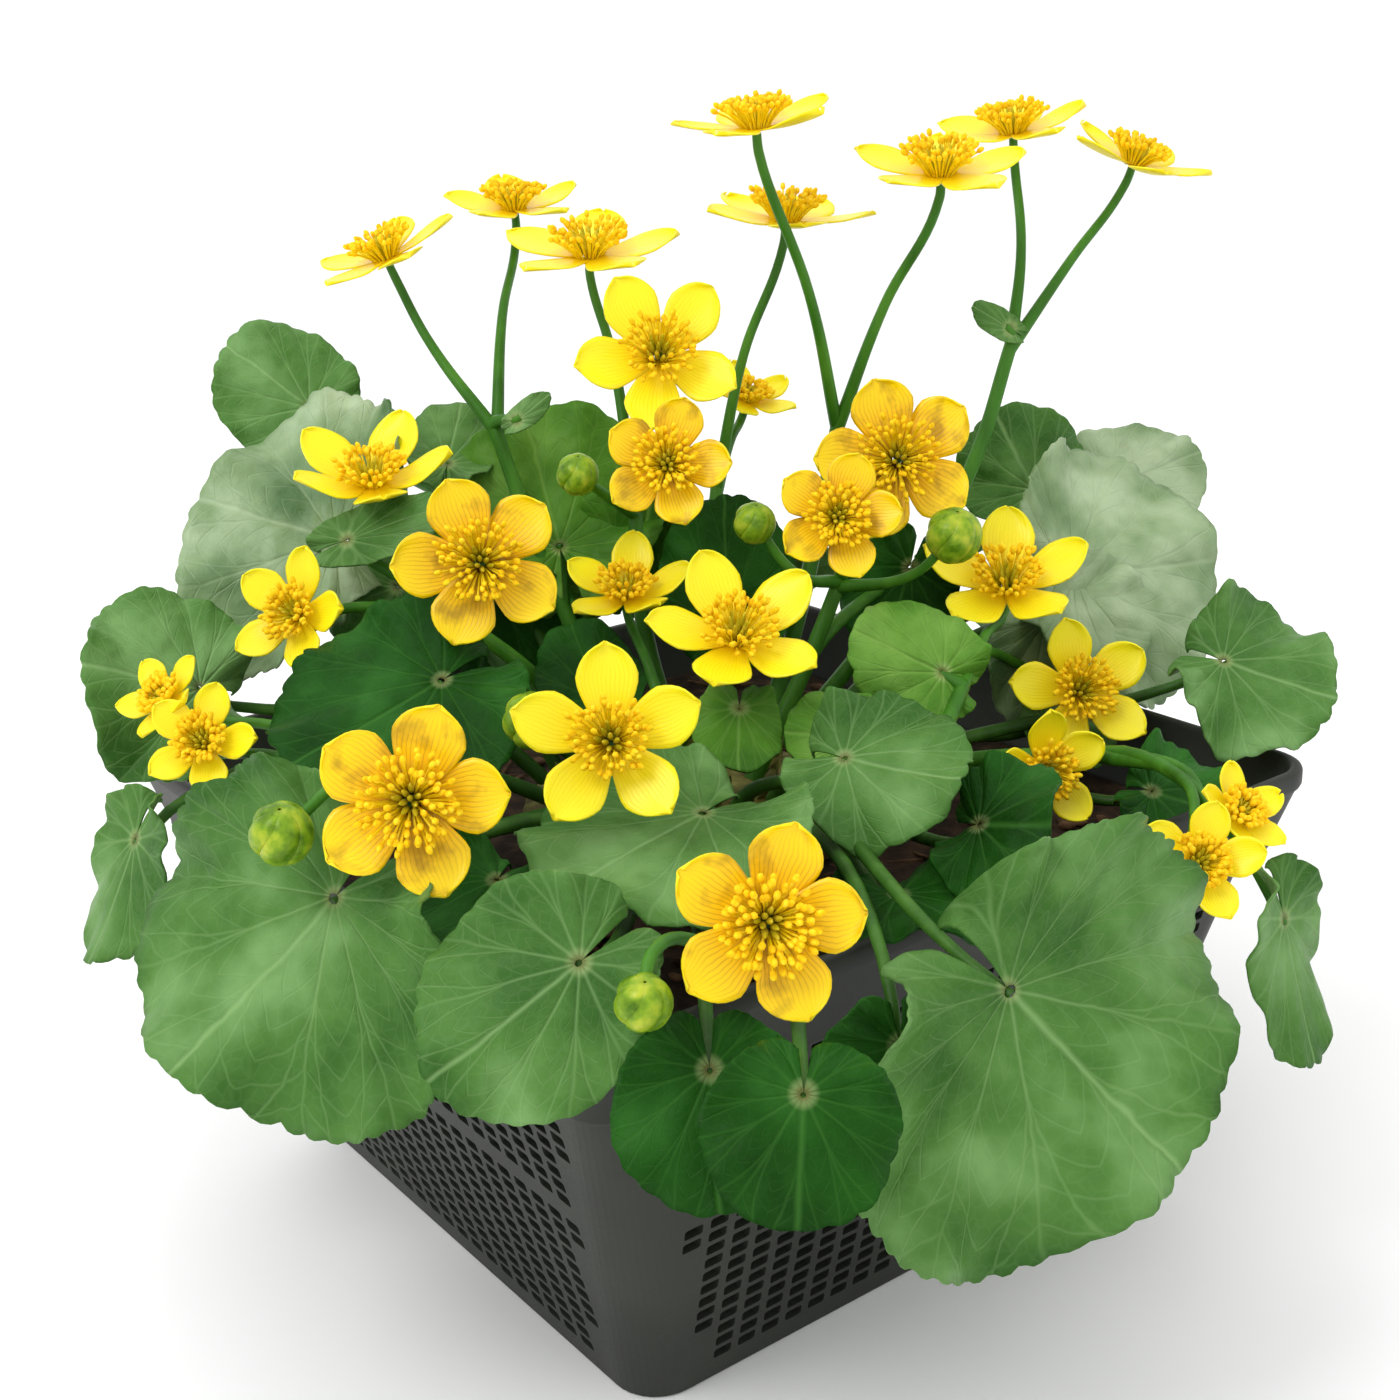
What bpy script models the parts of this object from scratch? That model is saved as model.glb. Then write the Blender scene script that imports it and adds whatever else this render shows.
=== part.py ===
"""A marsh marigold growing in a square perforated pond basket.

Metres, +Z up, origin at the middle of the basket's foot. The basket's walls face +-X and +-Y.
The plant is laid out as seen from the basket's near corner: every plant position is (right, back,
up) in millimetres, with `right` and `back` measured from the middle of the basket.
"""

import math

import bmesh
import bpy
from mathutils import Matrix, Vector

MM = 0.001

# Basket
RIM_SIDE = 190
FOOT_SIDE = 137
BASKET_HEIGHT = 98
COLLAR_HEIGHT = 19
COLLAR_STEP = 3
WALL = 2
FLOOR = 2.5
CORNER_RADIUS = 10
CORNER_STEPS = 3

# Windows in the walls, each standing for a block of the fine mesh
WINDOW_COLUMNS = 4
WINDOW_PITCH = 30.5
WINDOW_WIDTH = 26
WINDOW_ROWS = ((5, 45), (50, 75))

# Soil and crown
SOIL_TOP = 86
SOIL_CLEARANCE = 0.6
CROWN_RADIUS = 41
CROWN_TOP = 91

# Plant
VIEW_BEARING = -36.6
ROOT_HEIGHT = 93
BLADE_THICKNESS = 0.9
PETIOLE_RADIUS = 1.4
TRUNK_RADIUS = 2.3
PEDICEL_RADIUS = 1.3
SINUS = 12
BLADE_STEPS = 8
SEPAL_THICKNESS = 0.8
SEPAL_CLEARANCE = 1.3
SEPAL_EDGE = ((-36, 0.34), (-23, 0.84), (0, 1), (23, 0.84))

# Leaves: root on the crown, base of the blade, tip, the way the upper side faces, width, droop of
# the tip, then how steeply the stalk leaves the crown and how squarely it meets the blade
LEAVES = {
    "leaf_front_left": ((-17, -28), (-63, -96, 110), (-90, -106, 82), (-0.3, -0.75, 0.6), 74, 5, 0.35, 0.5),
    "leaf_front_right": ((19, -27), (50, -116, 98), (76, -126, 69), (0.35, -0.75, 0.55), 88, 5, 0.35, 0.35),
    "leaf_rim_low": ((-3, -34), (0.5, -139, 98.5), (1, -149, 79), (0, -0.85, 0.5), 31, 2, 0.1, 0.5),
    "leaf_rim_front": ((12, -36), (14, -153, 102), (12, -162, 85), (0.05, -0.85, 0.5), 30, 2, 0.1, 0.5),
    "leaf_left_folded": ((-9, -33), (-19, -130, 113), (-43, -136, 96), (-0.1, -0.85, 0.5), 36, 3, 0.1, 0.9),
    "leaf_middle": ((-6, -23), (1, -74, 114), (-24, -99, 111), (-0.05, -0.25, 0.96), 54, 3, 0.6, 0.5),
    "leaf_middle_right": ((7, -24), (28, -59, 118), (49, -73, 117), (0.1, -0.6, 0.8), 36, 3, 0.6, 0.6),
    "leaf_round_left": ((-20, -14), (-50, -36, 129), (-78, -54, 118), (-0.15, -0.6, 0.8), 54, 4, 0.7, 0.6),
    "leaf_behind_bud": ((-13, -4), (-21, -8, 114), (-27, 10, 127), (0, -0.6, 0.8), 24, 3, 0.8, 0.6),
    "leaf_by_stem": ((32, -24), (52, -70, 108), (64, -79, 111.5), (0.1, -0.6, 0.8), 34, 3, 0.2, 0.5),
    "leaf_inner_right": ((16, -17), (34, -34, 112), (18, -36, 116), (0, -0.6, 0.8), 24, 3, 0.7, 0.5),
    "leaf_rear": ((4, 36), (12, 88, 114), (18, 114, 105), (0, 0.6, 0.8), 54, 5, 0.5, 0.5),
    "leaf_tall_left": ((-27, 7), (-80, 24, 144), (-112, 32, 152), (0.1, -0.75, 0.6), 76, 6, 0.7, 0.6),
    "leaf_tall_right": ((27, 9), (89, 31, 127), (124, 40, 127), (-0.1, -0.85, 0.5), 66, 6, 0.7, 0.6),
    "leaf_far_left": ((-34, 0), (-106, -8, 120), (-127, -20, 130), (-0.3, -0.7, 0.6), 44, 4, 0.6, 0.6),
    "leaf_right_gap": ((31, 6), (80, 16, 97), (97, 14, 95.5), (0, -0.3, 0.95), 29, 2, 0.4, 0.5),
    "leaf_far_right": ((36, 1), (117, 3, 114), (139, -7, 107), (0.3, -0.6, 0.7), 45, 3, 0.22, 0.6),
    "leaf_hanging_left": ((-30, -14), (-110, -52, 104), (-118, -62, 82), (-0.6, -0.6, 0.3), 26, 2, 0.4, 0.3),
    "leaf_under_right": ((17, -33), (32, -117, 89), (32, -126, 70), (0.1, -0.7, 0.7), 30, 2, 0.35, 0.2),
}

# Flowers: middle, the way it faces, width, twist, rise of the sepal tips
FLOWERS = {
    "flower_01": ((17, 12, 230), (-0.1, -0.1, 1), 36, 0, 3),
    "flower_02": ((24, 38, 209), (0.1, -0.1, 1), 40, 20, 3),
    "flower_03": ((56, 20, 219), (0, -0.25, 1), 40, 10, 3),
    "flower_04": ((78, 60, 225), (-0.1, -0.2, 1), 36, 30, 3),
    "flower_05": ((106, 60, 217), (0.35, -0.2, 1), 35, 0, 3),
    "flower_06": ((-67, 50, 203), (-0.35, -0.2, 1), 36, 0, 3),
    "flower_07": ((-39, 74, 211), (0, -0.2, 1), 34, 30, 3),
    "flower_08": ((-20, 38, 203), (0, -0.25, 1), 42, 10, 3),
    "flower_09": ((-5, 14, 184), (0.05, -0.8, 0.5), 38, 45, 4),
    "flower_10": ((-4, -3, 164), (0, -0.95, 0.4), 28, 0, 2),
    "flower_11": ((15, 58, 166), (0.3, -0.3, 1), 24, 0, 3),
    "flower_12": ((46, 12, 160), (-0.1, -0.95, 0.35), 37, 33, 2),
    "flower_13": ((31, -10, 153), (0, -0.95, 0.4), 27, 0, 2),
    "flower_14": ((-69, 16, 158), (0, -0.35, 0.95), 37, 0, 8),
    "flower_15": ((-84, -6, 135), (-0.35, -0.75, 0.5), 28, 10, 4),
    "flower_16": ((-42, -25, 150), (0.1, -0.95, 0.35), 35, 35, 2),
    "flower_17": ((-14, 0, 135), (0, -0.4, 0.9), 29, 10, 6),
    "flower_18": ((9, -25, 132), (0.1, -0.55, 0.85), 38, 28, 6),
    "flower_19": ((-15, -80, 131), (0, -0.9, 0.45), 35, 17, 4),
    "flower_20": ((-48, -100, 129), (0.05, -0.95, 0.35), 34, 0, 2),
    "flower_21": ((10, -134, 120.5), (0.05, -0.95, 0.35), 31, 0, 2),
    "flower_22": ((70, 10, 131), (-0.1, -0.5, 0.85), 38, 20, 7),
    "flower_23": ((86, 6, 107), (0.1, -0.9, 0.45), 34, 27, 4),
    "flower_24": ((72, -28, 102), (0.3, -0.9, 0.2), 27, 20, 4),
    "flower_25": ((-107, -30, 125), (-0.4, -0.5, 0.7), 20, 0, 3),
    "flower_26": ((-98, -40, 119), (0, -0.8, 0.6), 24, 0, 3),
    "flower_27": ((93, -71, 99), (0, -0.8, 0.6), 24, 0, 3),
    "flower_28": ((103, -60, 104), (0.4, -0.5, 0.7), 20, 0, 3),
}

# Small flowers that grow into each other
FLOWER_PAIRS = {
    "flowers_far_left": ("flower_25", "flower_26"),
    "flowers_far_right": ("flower_27", "flower_28"),
}

# Buds: middle, width
BUDS = {
    "bud_1": ((-23, 0, 162), 9),
    "bud_2": ((14, -4, 151), 9),
    "bud_3": ((56, -5, 147), 12),
    "bud_4": ((-31, -56, 127), 11),
    "bud_5": ((-70, -100, 124), 11),
    "bud_6": ((-9, -142, 112), 9),
}

# Leaves that grow on the flowering stems, as in LEAVES but with the number of the stem's point
# that they grow from in place of a root
STEM_LEAVES = {
    "bract_left": (2, (-38, 32, 168), (-30, 30, 174), (0, -0.9, 0.4), 6, 1, 0.5, 0),
    "bract_right": (3, (75, 42, 183), (66, 38, 189), (0, -0.9, 0.4), 7, 1, 0.5, 0),
    "leaf_back_left": (1, (-30, 32, 138), (-38, 52, 166), (0, -0.7, 0.7), 58, 4, 0.7, 0.5),
    "leaf_back_middle": (1, (8, 10, 126), (8, 24, 151), (0, -0.85, 0.5), 32, 4, 0.5, 0.7),
    "leaf_top_left": (1, (-92, 70, 166), (-112, 74, 182), (-0.2, -0.6, 0.7), 34, 3, 0.6, 0.5),
    "leaf_top_right": (1, (104, 70, 138), (128, 72, 146), (0.3, -0.6, 0.7), 34, 3, 0.6, 0.5),
    "leaf_behind_left": (1, (-56, 44, 156), (-54, 62, 167), (0.1, -0.7, 0.7), 24, 2, 0.6, 0.5),
    "leaf_rear_left": (1, (-52, 78, 112), (-66, 102, 103), (-0.2, 0.6, 0.7), 54, 5, 0.5, 0.5),
    "leaf_rear_right": (1, (72, 66, 112), (90, 84, 103), (0.4, 0.5, 0.75), 48, 5, 0.5, 0.5),
    "leaf_dark_middle": (1, (50, 22, 133), (42, 14, 113), (0, -0.85, 0.5), 26, 2, 0.5, 0.9),
    "leaf_toothed": (3, (52, -19, 121), (33, -19, 131), (0, -0.75, 0.65), 27, 2, 0.5, 0.5),
    "leaf_under_flower": (1, (9, -31, 119), (8, -45, 111), (0.1, -0.7, 0.7), 18, 2, 0.5, 0.5),
    "leaf_hanging_right": (2, (111, -67, 85), (117, -72, 56), (0.6, -0.6, 0.3), 26, 2, 0.3, 0.15),
    "leaf_right_back": (1, (84, 56, 142), (75, 64, 160), (0, -0.8, 0.6), 34, 2, 0.5, 0.5),
    "leaf_by_flower": (2, (-74, 6, 148), (-52, 2, 156), (0, -0.8, 0.6), 14, 2, 0.6, 0.5),
}

# Flowering stems: the trunk, then the points that each branch passes on its way to its head
STEMS = {
    "stem_1": {
        "trunk": ((13, 4, 93), (26, 20, 130), (35, 36, 164)),
        "flower_01": ((28, 22, 195),),
        "flower_03": ((45, 29, 191),),
    },
    "stem_2": {
        "trunk": ((7, 13, 93), (4, 26, 125), (7, 40, 150)),
        "flower_02": ((14, 39, 180),),
        "flower_11": ((11, 54, 158),),
        "leaf_back_middle": (),
    },
    "stem_3": {
        "trunk": ((20, 16, 93), (46, 30, 120), (66, 38, 152), (76, 44, 180)),
        "flower_04": ((79, 52, 200),),
        "flower_05": ((91, 53, 197),),
        "bract_right": (),
        "leaf_top_right": (),
        "leaf_rear_right": (),
        "leaf_right_back": (),
    },
    "stem_4": {
        "trunk": ((-12, 14, 93), (-30, 28, 125), (-44, 38, 166)),
        "flower_06": ((-58, 46, 184),),
        "flower_07": ((-42, 56, 188),),
        "bract_left": (),
        "leaf_back_left": (),
        "leaf_top_left": (),
        "leaf_behind_left": (),
        "leaf_rear_left": (),
    },
    "stem_5": {
        "trunk": ((-3, 4, 93), (-11, 14, 125), (-12, 24, 152)),
        "flower_08": ((-16, 36, 182),),
        "flower_09": ((-8, 28, 172),),
        "flower_10": ((-6, 12, 158),),
        "bud_1": ((-19, 10, 156),),
    },
    "stem_6": {
        "trunk": ((12, -5, 93), (26, 4, 119), (34, 9, 137)),
        "flower_12": ((43, 17, 149),),
        "flower_13": ((33, 0, 146),),
        "bud_2": ((22, -4, 140),),
        "bud_3": ((48, -2, 138),),
        "leaf_dark_middle": (),
    },
    "stem_7": {
        "trunk": ((26, -27, 93), (35, -49, 97), (46, -38, 107), (56, -20, 118)),
        "flower_22": ((63, -4, 124),),
        "flower_23": ((64, 7, 117), (79, 20, 107)),
        "leaf_toothed": (),
    },
    "stem_8": {
        "trunk": ((35, -13, 93), (54, -12, 98), (86, -20, 102)),
        "flower_24": ((78, -19, 102),),
        "flower_27": ((97, -46, 105),),
        "flower_28": ((98, -38, 105),),
        "leaf_hanging_right": (),
    },
    "stem_9": {
        "trunk": ((-18, 5, 93), (-36, 8, 115), (-52, 6, 130)),
        "flower_14": ((-66, 12, 146),),
        "flower_15": ((-74, 2, 134),),
        "flower_16": ((-46, -12, 146),),
        "leaf_by_flower": (),
    },
    "stem_10": {
        "trunk": ((-3, -13, 93), (-5, -20, 108)),
        "flower_17": ((-10, -7, 122),),
        "flower_18": ((4, -22, 120),),
        "flower_19": ((-9, -48, 125),),
        "bud_4": ((-15, -46, 116), (-24, -54, 123)),
        "leaf_under_flower": (),
    },
    "stem_11": {
        "trunk": ((-24, -20, 94), (-45, -56, 104)),
        "flower_20": ((-43, -64, 111), (-46, -86, 122)),
        "bud_5": ((-45, -63, 113), (-57, -82, 129)),
        "flower_25": ((-84, -30, 118),),
        "flower_26": ((-84, -38, 115),),
    },
    "stem_12": {
        "trunk": ((1, -18, 94), (3, -58, 98.5), (4, -96, 98.5)),
        "flower_21": ((6, -114, 106),),
        "bud_6": ((2, -118, 109), (-7.5, -136, 117)),
    },
}


def place(right, back, up):
    """A point in metres from plant coordinates."""
    bearing = math.radians(VIEW_BEARING)
    across, away = math.cos(bearing), math.sin(bearing)
    return MM * Vector((right * across - back * away, right * away + back * across, up))


def heading(right, back, up):
    return place(right, back, up).normalized()


def clear_scene():
    for item in list(bpy.data.objects):
        bpy.data.objects.remove(item)


def collection(name, hidden=False):
    made = bpy.data.collections.new(name)
    bpy.context.scene.collection.children.link(made)
    made.hide_render = hidden
    return made


def material(name, colour, roughness):
    made = bpy.data.materials.new(name)
    made.use_nodes = True
    shader = made.node_tree.nodes["Principled BSDF"]
    shader.inputs["Base Color"].default_value = (*colour, 1)
    shader.inputs["Roughness"].default_value = roughness
    return made


def new_object(name, mesh, home, finish=None):
    made = bpy.data.objects.new(name, mesh)
    home.objects.link(made)
    if finish:
        mesh.materials.clear()
        mesh.materials.append(finish)
    return made


def helper(name, mesh):
    """An object that only serves to shape another."""
    made = new_object(name, mesh, bpy.data.collections["helpers"])
    made.display_type = "WIRE"
    return made


def mesh_from(sheet, name):
    bmesh.ops.recalc_face_normals(sheet, faces=sheet.faces)
    mesh = bpy.data.meshes.new(name)
    sheet.to_mesh(mesh)
    sheet.free()
    return mesh


def applied(item):
    """The mesh of an object with its modifiers and its place applied."""
    bpy.context.view_layer.update()
    graph = bpy.context.evaluated_depsgraph_get()
    mesh = bpy.data.meshes.new_from_object(item.evaluated_get(graph), depsgraph=graph)
    mesh.transform(item.matrix_world)
    return mesh


def boolean(item, other, operation):
    step = item.modifiers.new(operation.lower(), "BOOLEAN")
    step.operation, step.object, step.solver = operation, other, "EXACT"
    step.use_self = operation == "UNION"


def fused(name, meshes, finish):
    """One node made of meshes that reach into each other."""
    item = helper(name + "_0", meshes[0])
    for number, mesh in enumerate(meshes[1:], 1):
        boolean(item, helper(f"{name}_{number}", mesh), "UNION")
    return new_object(name, applied(item), bpy.data.collections["marsh_marigold"], finish)


def loft(rings):
    """A closed body through rings of equally many points."""
    body = bmesh.new()
    loops = [[body.verts.new(point) for point in ring] for ring in rings]
    for low, high in zip(loops, loops[1:]):
        for i in range(len(low)):
            body.faces.new((low[i - 1], low[i], high[i], high[i - 1]))
    body.faces.new(loops[0])
    body.faces.new(loops[-1])
    return mesh_from(body, "loft")


def rounded_square(side, radius, height):
    """Points round a square with rounded corners."""
    reach = side / 2 - radius
    points = []
    for corner in range(4):
        for step in range(CORNER_STEPS + 1):
            turn = math.radians(90 * (corner + step / CORNER_STEPS))
            middle = math.radians(90 * corner + 45)
            points.append(
                MM
                * Vector(
                    (
                        reach * round(math.sqrt(2) * math.cos(middle)) + radius * math.cos(turn),
                        reach * round(math.sqrt(2) * math.sin(middle)) + radius * math.sin(turn),
                        height,
                    )
                )
            )
    return points


def wall_side(height):
    """The outside width of the tapering wall at a height."""
    top = RIM_SIDE - 2 * COLLAR_STEP
    return FOOT_SIDE + (top - FOOT_SIDE) * height / BASKET_HEIGHT


def basket_shell():
    collar = BASKET_HEIGHT - COLLAR_HEIGHT
    inner = CORNER_RADIUS - WALL
    return loft(
        [
            rounded_square(FOOT_SIDE, CORNER_RADIUS, 0),
            rounded_square(wall_side(collar), CORNER_RADIUS, collar),
            rounded_square(wall_side(collar) + 2 * COLLAR_STEP, CORNER_RADIUS, collar),
            rounded_square(RIM_SIDE, CORNER_RADIUS, BASKET_HEIGHT),
            rounded_square(RIM_SIDE - 2 * WALL, inner, BASKET_HEIGHT),
            rounded_square(wall_side(collar) - 2 * WALL, inner, collar),
            rounded_square(wall_side(FLOOR) - 2 * WALL, inner, FLOOR),
        ]
    )


def window_cutters():
    """Boxes that go through every wall of the basket, in one mesh."""
    body = bmesh.new()
    for low, high in WINDOW_ROWS:
        flat = wall_side(low) / 2 - CORNER_RADIUS
        for column in range(WINDOW_COLUMNS):
            middle = (column - (WINDOW_COLUMNS - 1) / 2) * WINDOW_PITCH
            left = max(middle - WINDOW_WIDTH / 2, -flat)
            right = min(middle + WINDOW_WIDTH / 2, flat)
            if right - left < 6:
                continue
            for side in range(4):
                add_box(body, left, right, low, high, side)
    return mesh_from(body, "windows")


def add_box(body, left, right, low, high, side):
    out = wall_side((low + high) / 2) / 2 - WALL / 2
    size = Matrix.Diagonal((right - left, 14, high - low, 1))
    at = Matrix.Translation(((left + right) / 2, -out, (low + high) / 2))
    turn = Matrix.Rotation(math.radians(90 * side), 4, "Z")
    bmesh.ops.create_cube(body, size=1, matrix=Matrix.Scale(MM, 4) @ turn @ at @ size)


def build_basket(finish):
    shell = helper("basket_shell", basket_shell())
    boolean(shell, helper("basket_windows", window_cutters()), "DIFFERENCE")
    new_object("basket", applied(shell), bpy.data.collections["marsh_marigold"], finish)


def inside(height, radius):
    side = wall_side(height) - 2 * WALL - 2 * SOIL_CLEARANCE
    return rounded_square(side, radius, height)


def build_soil(finish):
    radius = CORNER_RADIUS - WALL
    rings = [inside(FLOOR + SOIL_CLEARANCE, radius), inside(SOIL_TOP - 8, radius)]
    rings.append(inside(SOIL_TOP - 2, radius))
    rings.append(rounded_square(wall_side(SOIL_TOP) - 30, radius, SOIL_TOP))
    new_object("soil", loft(rings), bpy.data.collections["marsh_marigold"], finish)


def build_crown(finish):
    body = bmesh.new()
    low = SOIL_TOP + 0.4
    bmesh.ops.create_cone(
        body,
        cap_ends=True,
        segments=12,
        radius1=CROWN_RADIUS * MM,
        radius2=(CROWN_RADIUS - 5) * MM,
        depth=(CROWN_TOP - low) * MM,
        matrix=Matrix.Translation((0, 0, (CROWN_TOP + low) / 2 * MM)),
    )
    mesh = mesh_from(body, "crown")
    new_object("crown", mesh, bpy.data.collections["marsh_marigold"], finish)


def new_path(steps, roundness):
    path = bpy.data.curves.new("path", "CURVE")
    path.dimensions, path.bevel_resolution = "3D", roundness
    path.bevel_depth, path.use_fill_caps = MM, True
    path.resolution_u = steps
    return path


def tube(points, radii, steps, roundness=0):
    """A closed tube through points, with a radius in millimetres at each."""
    path = new_path(steps, roundness)
    spline = path.splines.new("BEZIER")
    spline.bezier_points.add(len(points) - 1)
    for knot, point, radius in zip(spline.bezier_points, points, radii):
        knot.co, knot.radius = point, radius
        knot.handle_left_type = knot.handle_right_type = "AUTO"
    return solid_of(path)


def bent_tube(start, start_pull, end, end_pull, radius, steps):
    """A closed tube between two points, leaving and arriving along the given pulls."""
    path = new_path(steps, 0)
    spline = path.splines.new("BEZIER")
    spline.bezier_points.add(1)
    for knot, point, pull in zip(spline.bezier_points, (start, end), (start_pull, end_pull)):
        knot.handle_left_type = knot.handle_right_type = "FREE"
        knot.co, knot.radius = point, radius
        knot.handle_left, knot.handle_right = point - pull, point + pull
    spline.bezier_points[1].radius = radius * 0.7
    return solid_of(path)


def solid_of(path):
    """The mesh of a bevelled curve with its end caps welded on."""
    guide = new_object("guide", path, bpy.data.collections["helpers"])
    mesh = applied(guide)
    body = bmesh.new()
    body.from_mesh(mesh)
    bmesh.ops.remove_doubles(body, verts=body.verts, dist=1e-6)
    bmesh.ops.recalc_face_normals(body, faces=body.faces)
    if body.calc_volume(signed=True) < 0:
        bmesh.ops.reverse_faces(body, faces=body.faces)
    body.to_mesh(mesh)
    body.free()
    return mesh


def blade_frame(base, tip, facing):
    """The blade's own axes: along the midrib, to its left, and out of its upper side."""
    start, end = place(*base), place(*tip)
    along = (end - start).normalized()
    left = heading(*facing).cross(along).normalized()
    frame = Matrix((along, left, along.cross(left))).transposed().to_4x4()
    return Matrix.Translation(start) @ frame, (end - start).length


def blade_point(share, turn, length, width, droop):
    """A point of the kidney-shaped blade in its own frame, `share` of the way to the margin."""
    angle = math.radians((180 - SINUS) * turn)
    reach = 0.68 + 0.28 * math.cos(angle) + 0.04 * math.cos(2 * angle)
    x = share * reach * math.cos(angle)
    y = share * reach * math.sin(angle)
    rise = 0.1 * width * share**2 * math.cos(3 * angle) - droop * max(x, 0) ** 2
    return Vector((x * length, y * width / 1.4, rise))


def blade(base, tip, facing, width, droop):
    """A leaf blade as a closed thin body."""
    frame, length = blade_frame(base, tip, facing)
    sheet = bmesh.new()
    rows = [[sheet.verts.new(frame.translation)] * (BLADE_STEPS + 1)]
    for share in (0.55, 1):
        row = []
        for step in range(BLADE_STEPS + 1):
            turn = 2 * step / BLADE_STEPS - 1
            point = blade_point(share, turn, length, width * MM, droop * MM)
            row.append(sheet.verts.new(frame @ point))
        rows.append(row)
    for low, high in zip(rows, rows[1:]):
        for i in range(BLADE_STEPS):
            corners = dict.fromkeys((low[i], high[i], high[i + 1], low[i + 1]))
            sheet.faces.new(corners)
    return thickened(sheet, BLADE_THICKNESS)


def thickened(sheet, thickness):
    item = helper("sheet", mesh_from(sheet, "sheet"))
    step = item.modifiers.new("thickness", "SOLIDIFY")
    step.thickness, step.offset = thickness * MM, 0
    return applied(item)


def petiole(start, base, tip, facing, steepness, squareness, steps=3):
    """The stalk from a starting point to the base of a blade."""
    frame, length = blade_frame(base, tip, facing)
    along, upper, end = frame.col[0].xyz, frame.col[2].xyz, frame.translation
    reach = (end - start).length
    level = ((end - start) * Vector((1, 1, 0))).normalized()
    leave = (level * (1 - steepness) + Vector((0, 0, steepness))).normalized() * reach * 0.4
    arrive = (along * (1 - squareness) + upper * squareness).normalized() * reach * 0.35
    return bent_tube(start, leave, end + along * 2.5 * MM, arrive, PETIOLE_RADIUS, steps)


def leaf(start, base, tip, facing, width, droop, steepness, squareness, steps=3):
    """The two closed bodies of a leaf, which reach into each other."""
    stalk = petiole(start, base, tip, facing, steepness, squareness, steps)
    return [blade(base, tip, facing, width, droop), stalk]


def flower_frame(middle, facing, twist):
    turn = heading(*facing).to_track_quat("Z", "Y").to_matrix().to_4x4()
    return Matrix.Translation(place(*middle)) @ turn @ Matrix.Rotation(math.radians(twist), 4, "Z")


def flower(middle, facing, width, twist, rise):
    """Five sepals round a low boss of stamens, as one closed body."""
    frame, reach = flower_frame(middle, facing, twist), width / 2 * MM
    sheet = bmesh.new()
    top = sheet.verts.new(frame @ Vector((0, 0, 0.15 * reach)))
    edge = []
    for number in range(5):
        for angle, share in SEPAL_EDGE:
            turn = math.radians(72 * number + angle)
            spot = (math.cos(turn) * reach * share, math.sin(turn) * reach * share)
            edge.append(sheet.verts.new(frame @ Vector((*spot, rise * MM * share**2))))
    for first in range(0, 20, 4):
        low, left, tip, right, after = (edge[(first + step) % 20] for step in range(5))
        for corners in ((top, low, after), (low, left, tip), (low, tip, after), (after, tip, right)):
            sheet.faces.new(corners)
    return thickened(sheet, SEPAL_THICKNESS)


def bud(middle, width):
    body = bmesh.new()
    at = Matrix.Translation(place(*middle))
    bmesh.ops.create_uvsphere(body, u_segments=6, v_segments=4, radius=width / 2 * MM, matrix=at)
    return mesh_from(body, "bud")


def branch(start, via, head):
    """The meshes of one branch, ending just under a flower or inside a bud."""
    points = [start] + [place(*point) for point in via]
    if head in BUDS:
        middle, width = BUDS[head]
        points.append(place(*middle))
        return [bud(middle, width), tube(points, [PEDICEL_RADIUS] * len(points), 2)]
    middle, facing = FLOWERS[head][:2]
    for clear in (5, SEPAL_CLEARANCE):
        points.append(place(*middle) - heading(*facing) * clear * MM)
    radii = [PEDICEL_RADIUS * 1.3] + [PEDICEL_RADIUS] * (len(points) - 1)
    return [tube(points, radii, 2)]


def build_stem(name, finish, trunk, parts):
    knots = [place(*point) for point in trunk]
    meshes = [tube(knots, [TRUNK_RADIUS] * len(knots), 3, 1)]
    back = (knots[-2] - knots[-1]).normalized()
    for number, (head, via) in enumerate(parts.items(), 1):
        if head in STEM_LEAVES:
            point, *shape = STEM_LEAVES[head]
            meshes += leaf(knots[point] + back * number * MM, *shape, 2)
        else:
            meshes += branch(knots[-1] + back * (0.8 + 1.3 * number) * MM, via, head)
    fused(name, meshes, finish)


def main():
    clear_scene()
    collection("marsh_marigold")
    collection("helpers", hidden=True)
    build_basket(material("basket_plastic", (0.05, 0.05, 0.04), 0.6))
    build_soil(material("soil", (0.05, 0.03, 0.02), 0.95))
    green = material("leaf_green", (0.05, 0.19, 0.04), 0.5)
    build_crown(green)
    for name, (root, *shape) in LEAVES.items():
        fused(name, leaf(place(*root, ROOT_HEIGHT), *shape), green)
    stem_green = material("stem_green", (0.09, 0.26, 0.04), 0.5)
    for name, parts in STEMS.items():
        heads = {head: via for head, via in parts.items() if head != "trunk"}
        build_stem(name, stem_green, parts["trunk"], heads)
    yellow = material("sepal_yellow", (0.9, 0.62, 0.01), 0.5)
    pairs = {name: pair for pair in FLOWER_PAIRS.values() for name in pair}
    for name, values in FLOWERS.items():
        if name not in pairs:
            new_object(name, flower(*values), bpy.data.collections["marsh_marigold"], yellow)
    for name, pair in FLOWER_PAIRS.items():
        fused(name, [flower(*FLOWERS[one]) for one in pair], yellow)


main()
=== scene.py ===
"""The looks of a marsh marigold in its square pond basket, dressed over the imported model.

Positions on the plant are (right, back, up) in millimetres, seen from the basket's near corner and
measured from the middle of its foot. Everything else is in metres, in the frame of the CAD.
"""

import logging
import math
import random
from dataclasses import dataclass, field
from enum import Enum

import bmesh
import bpy
from mathutils import Matrix, Vector, noise


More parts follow.
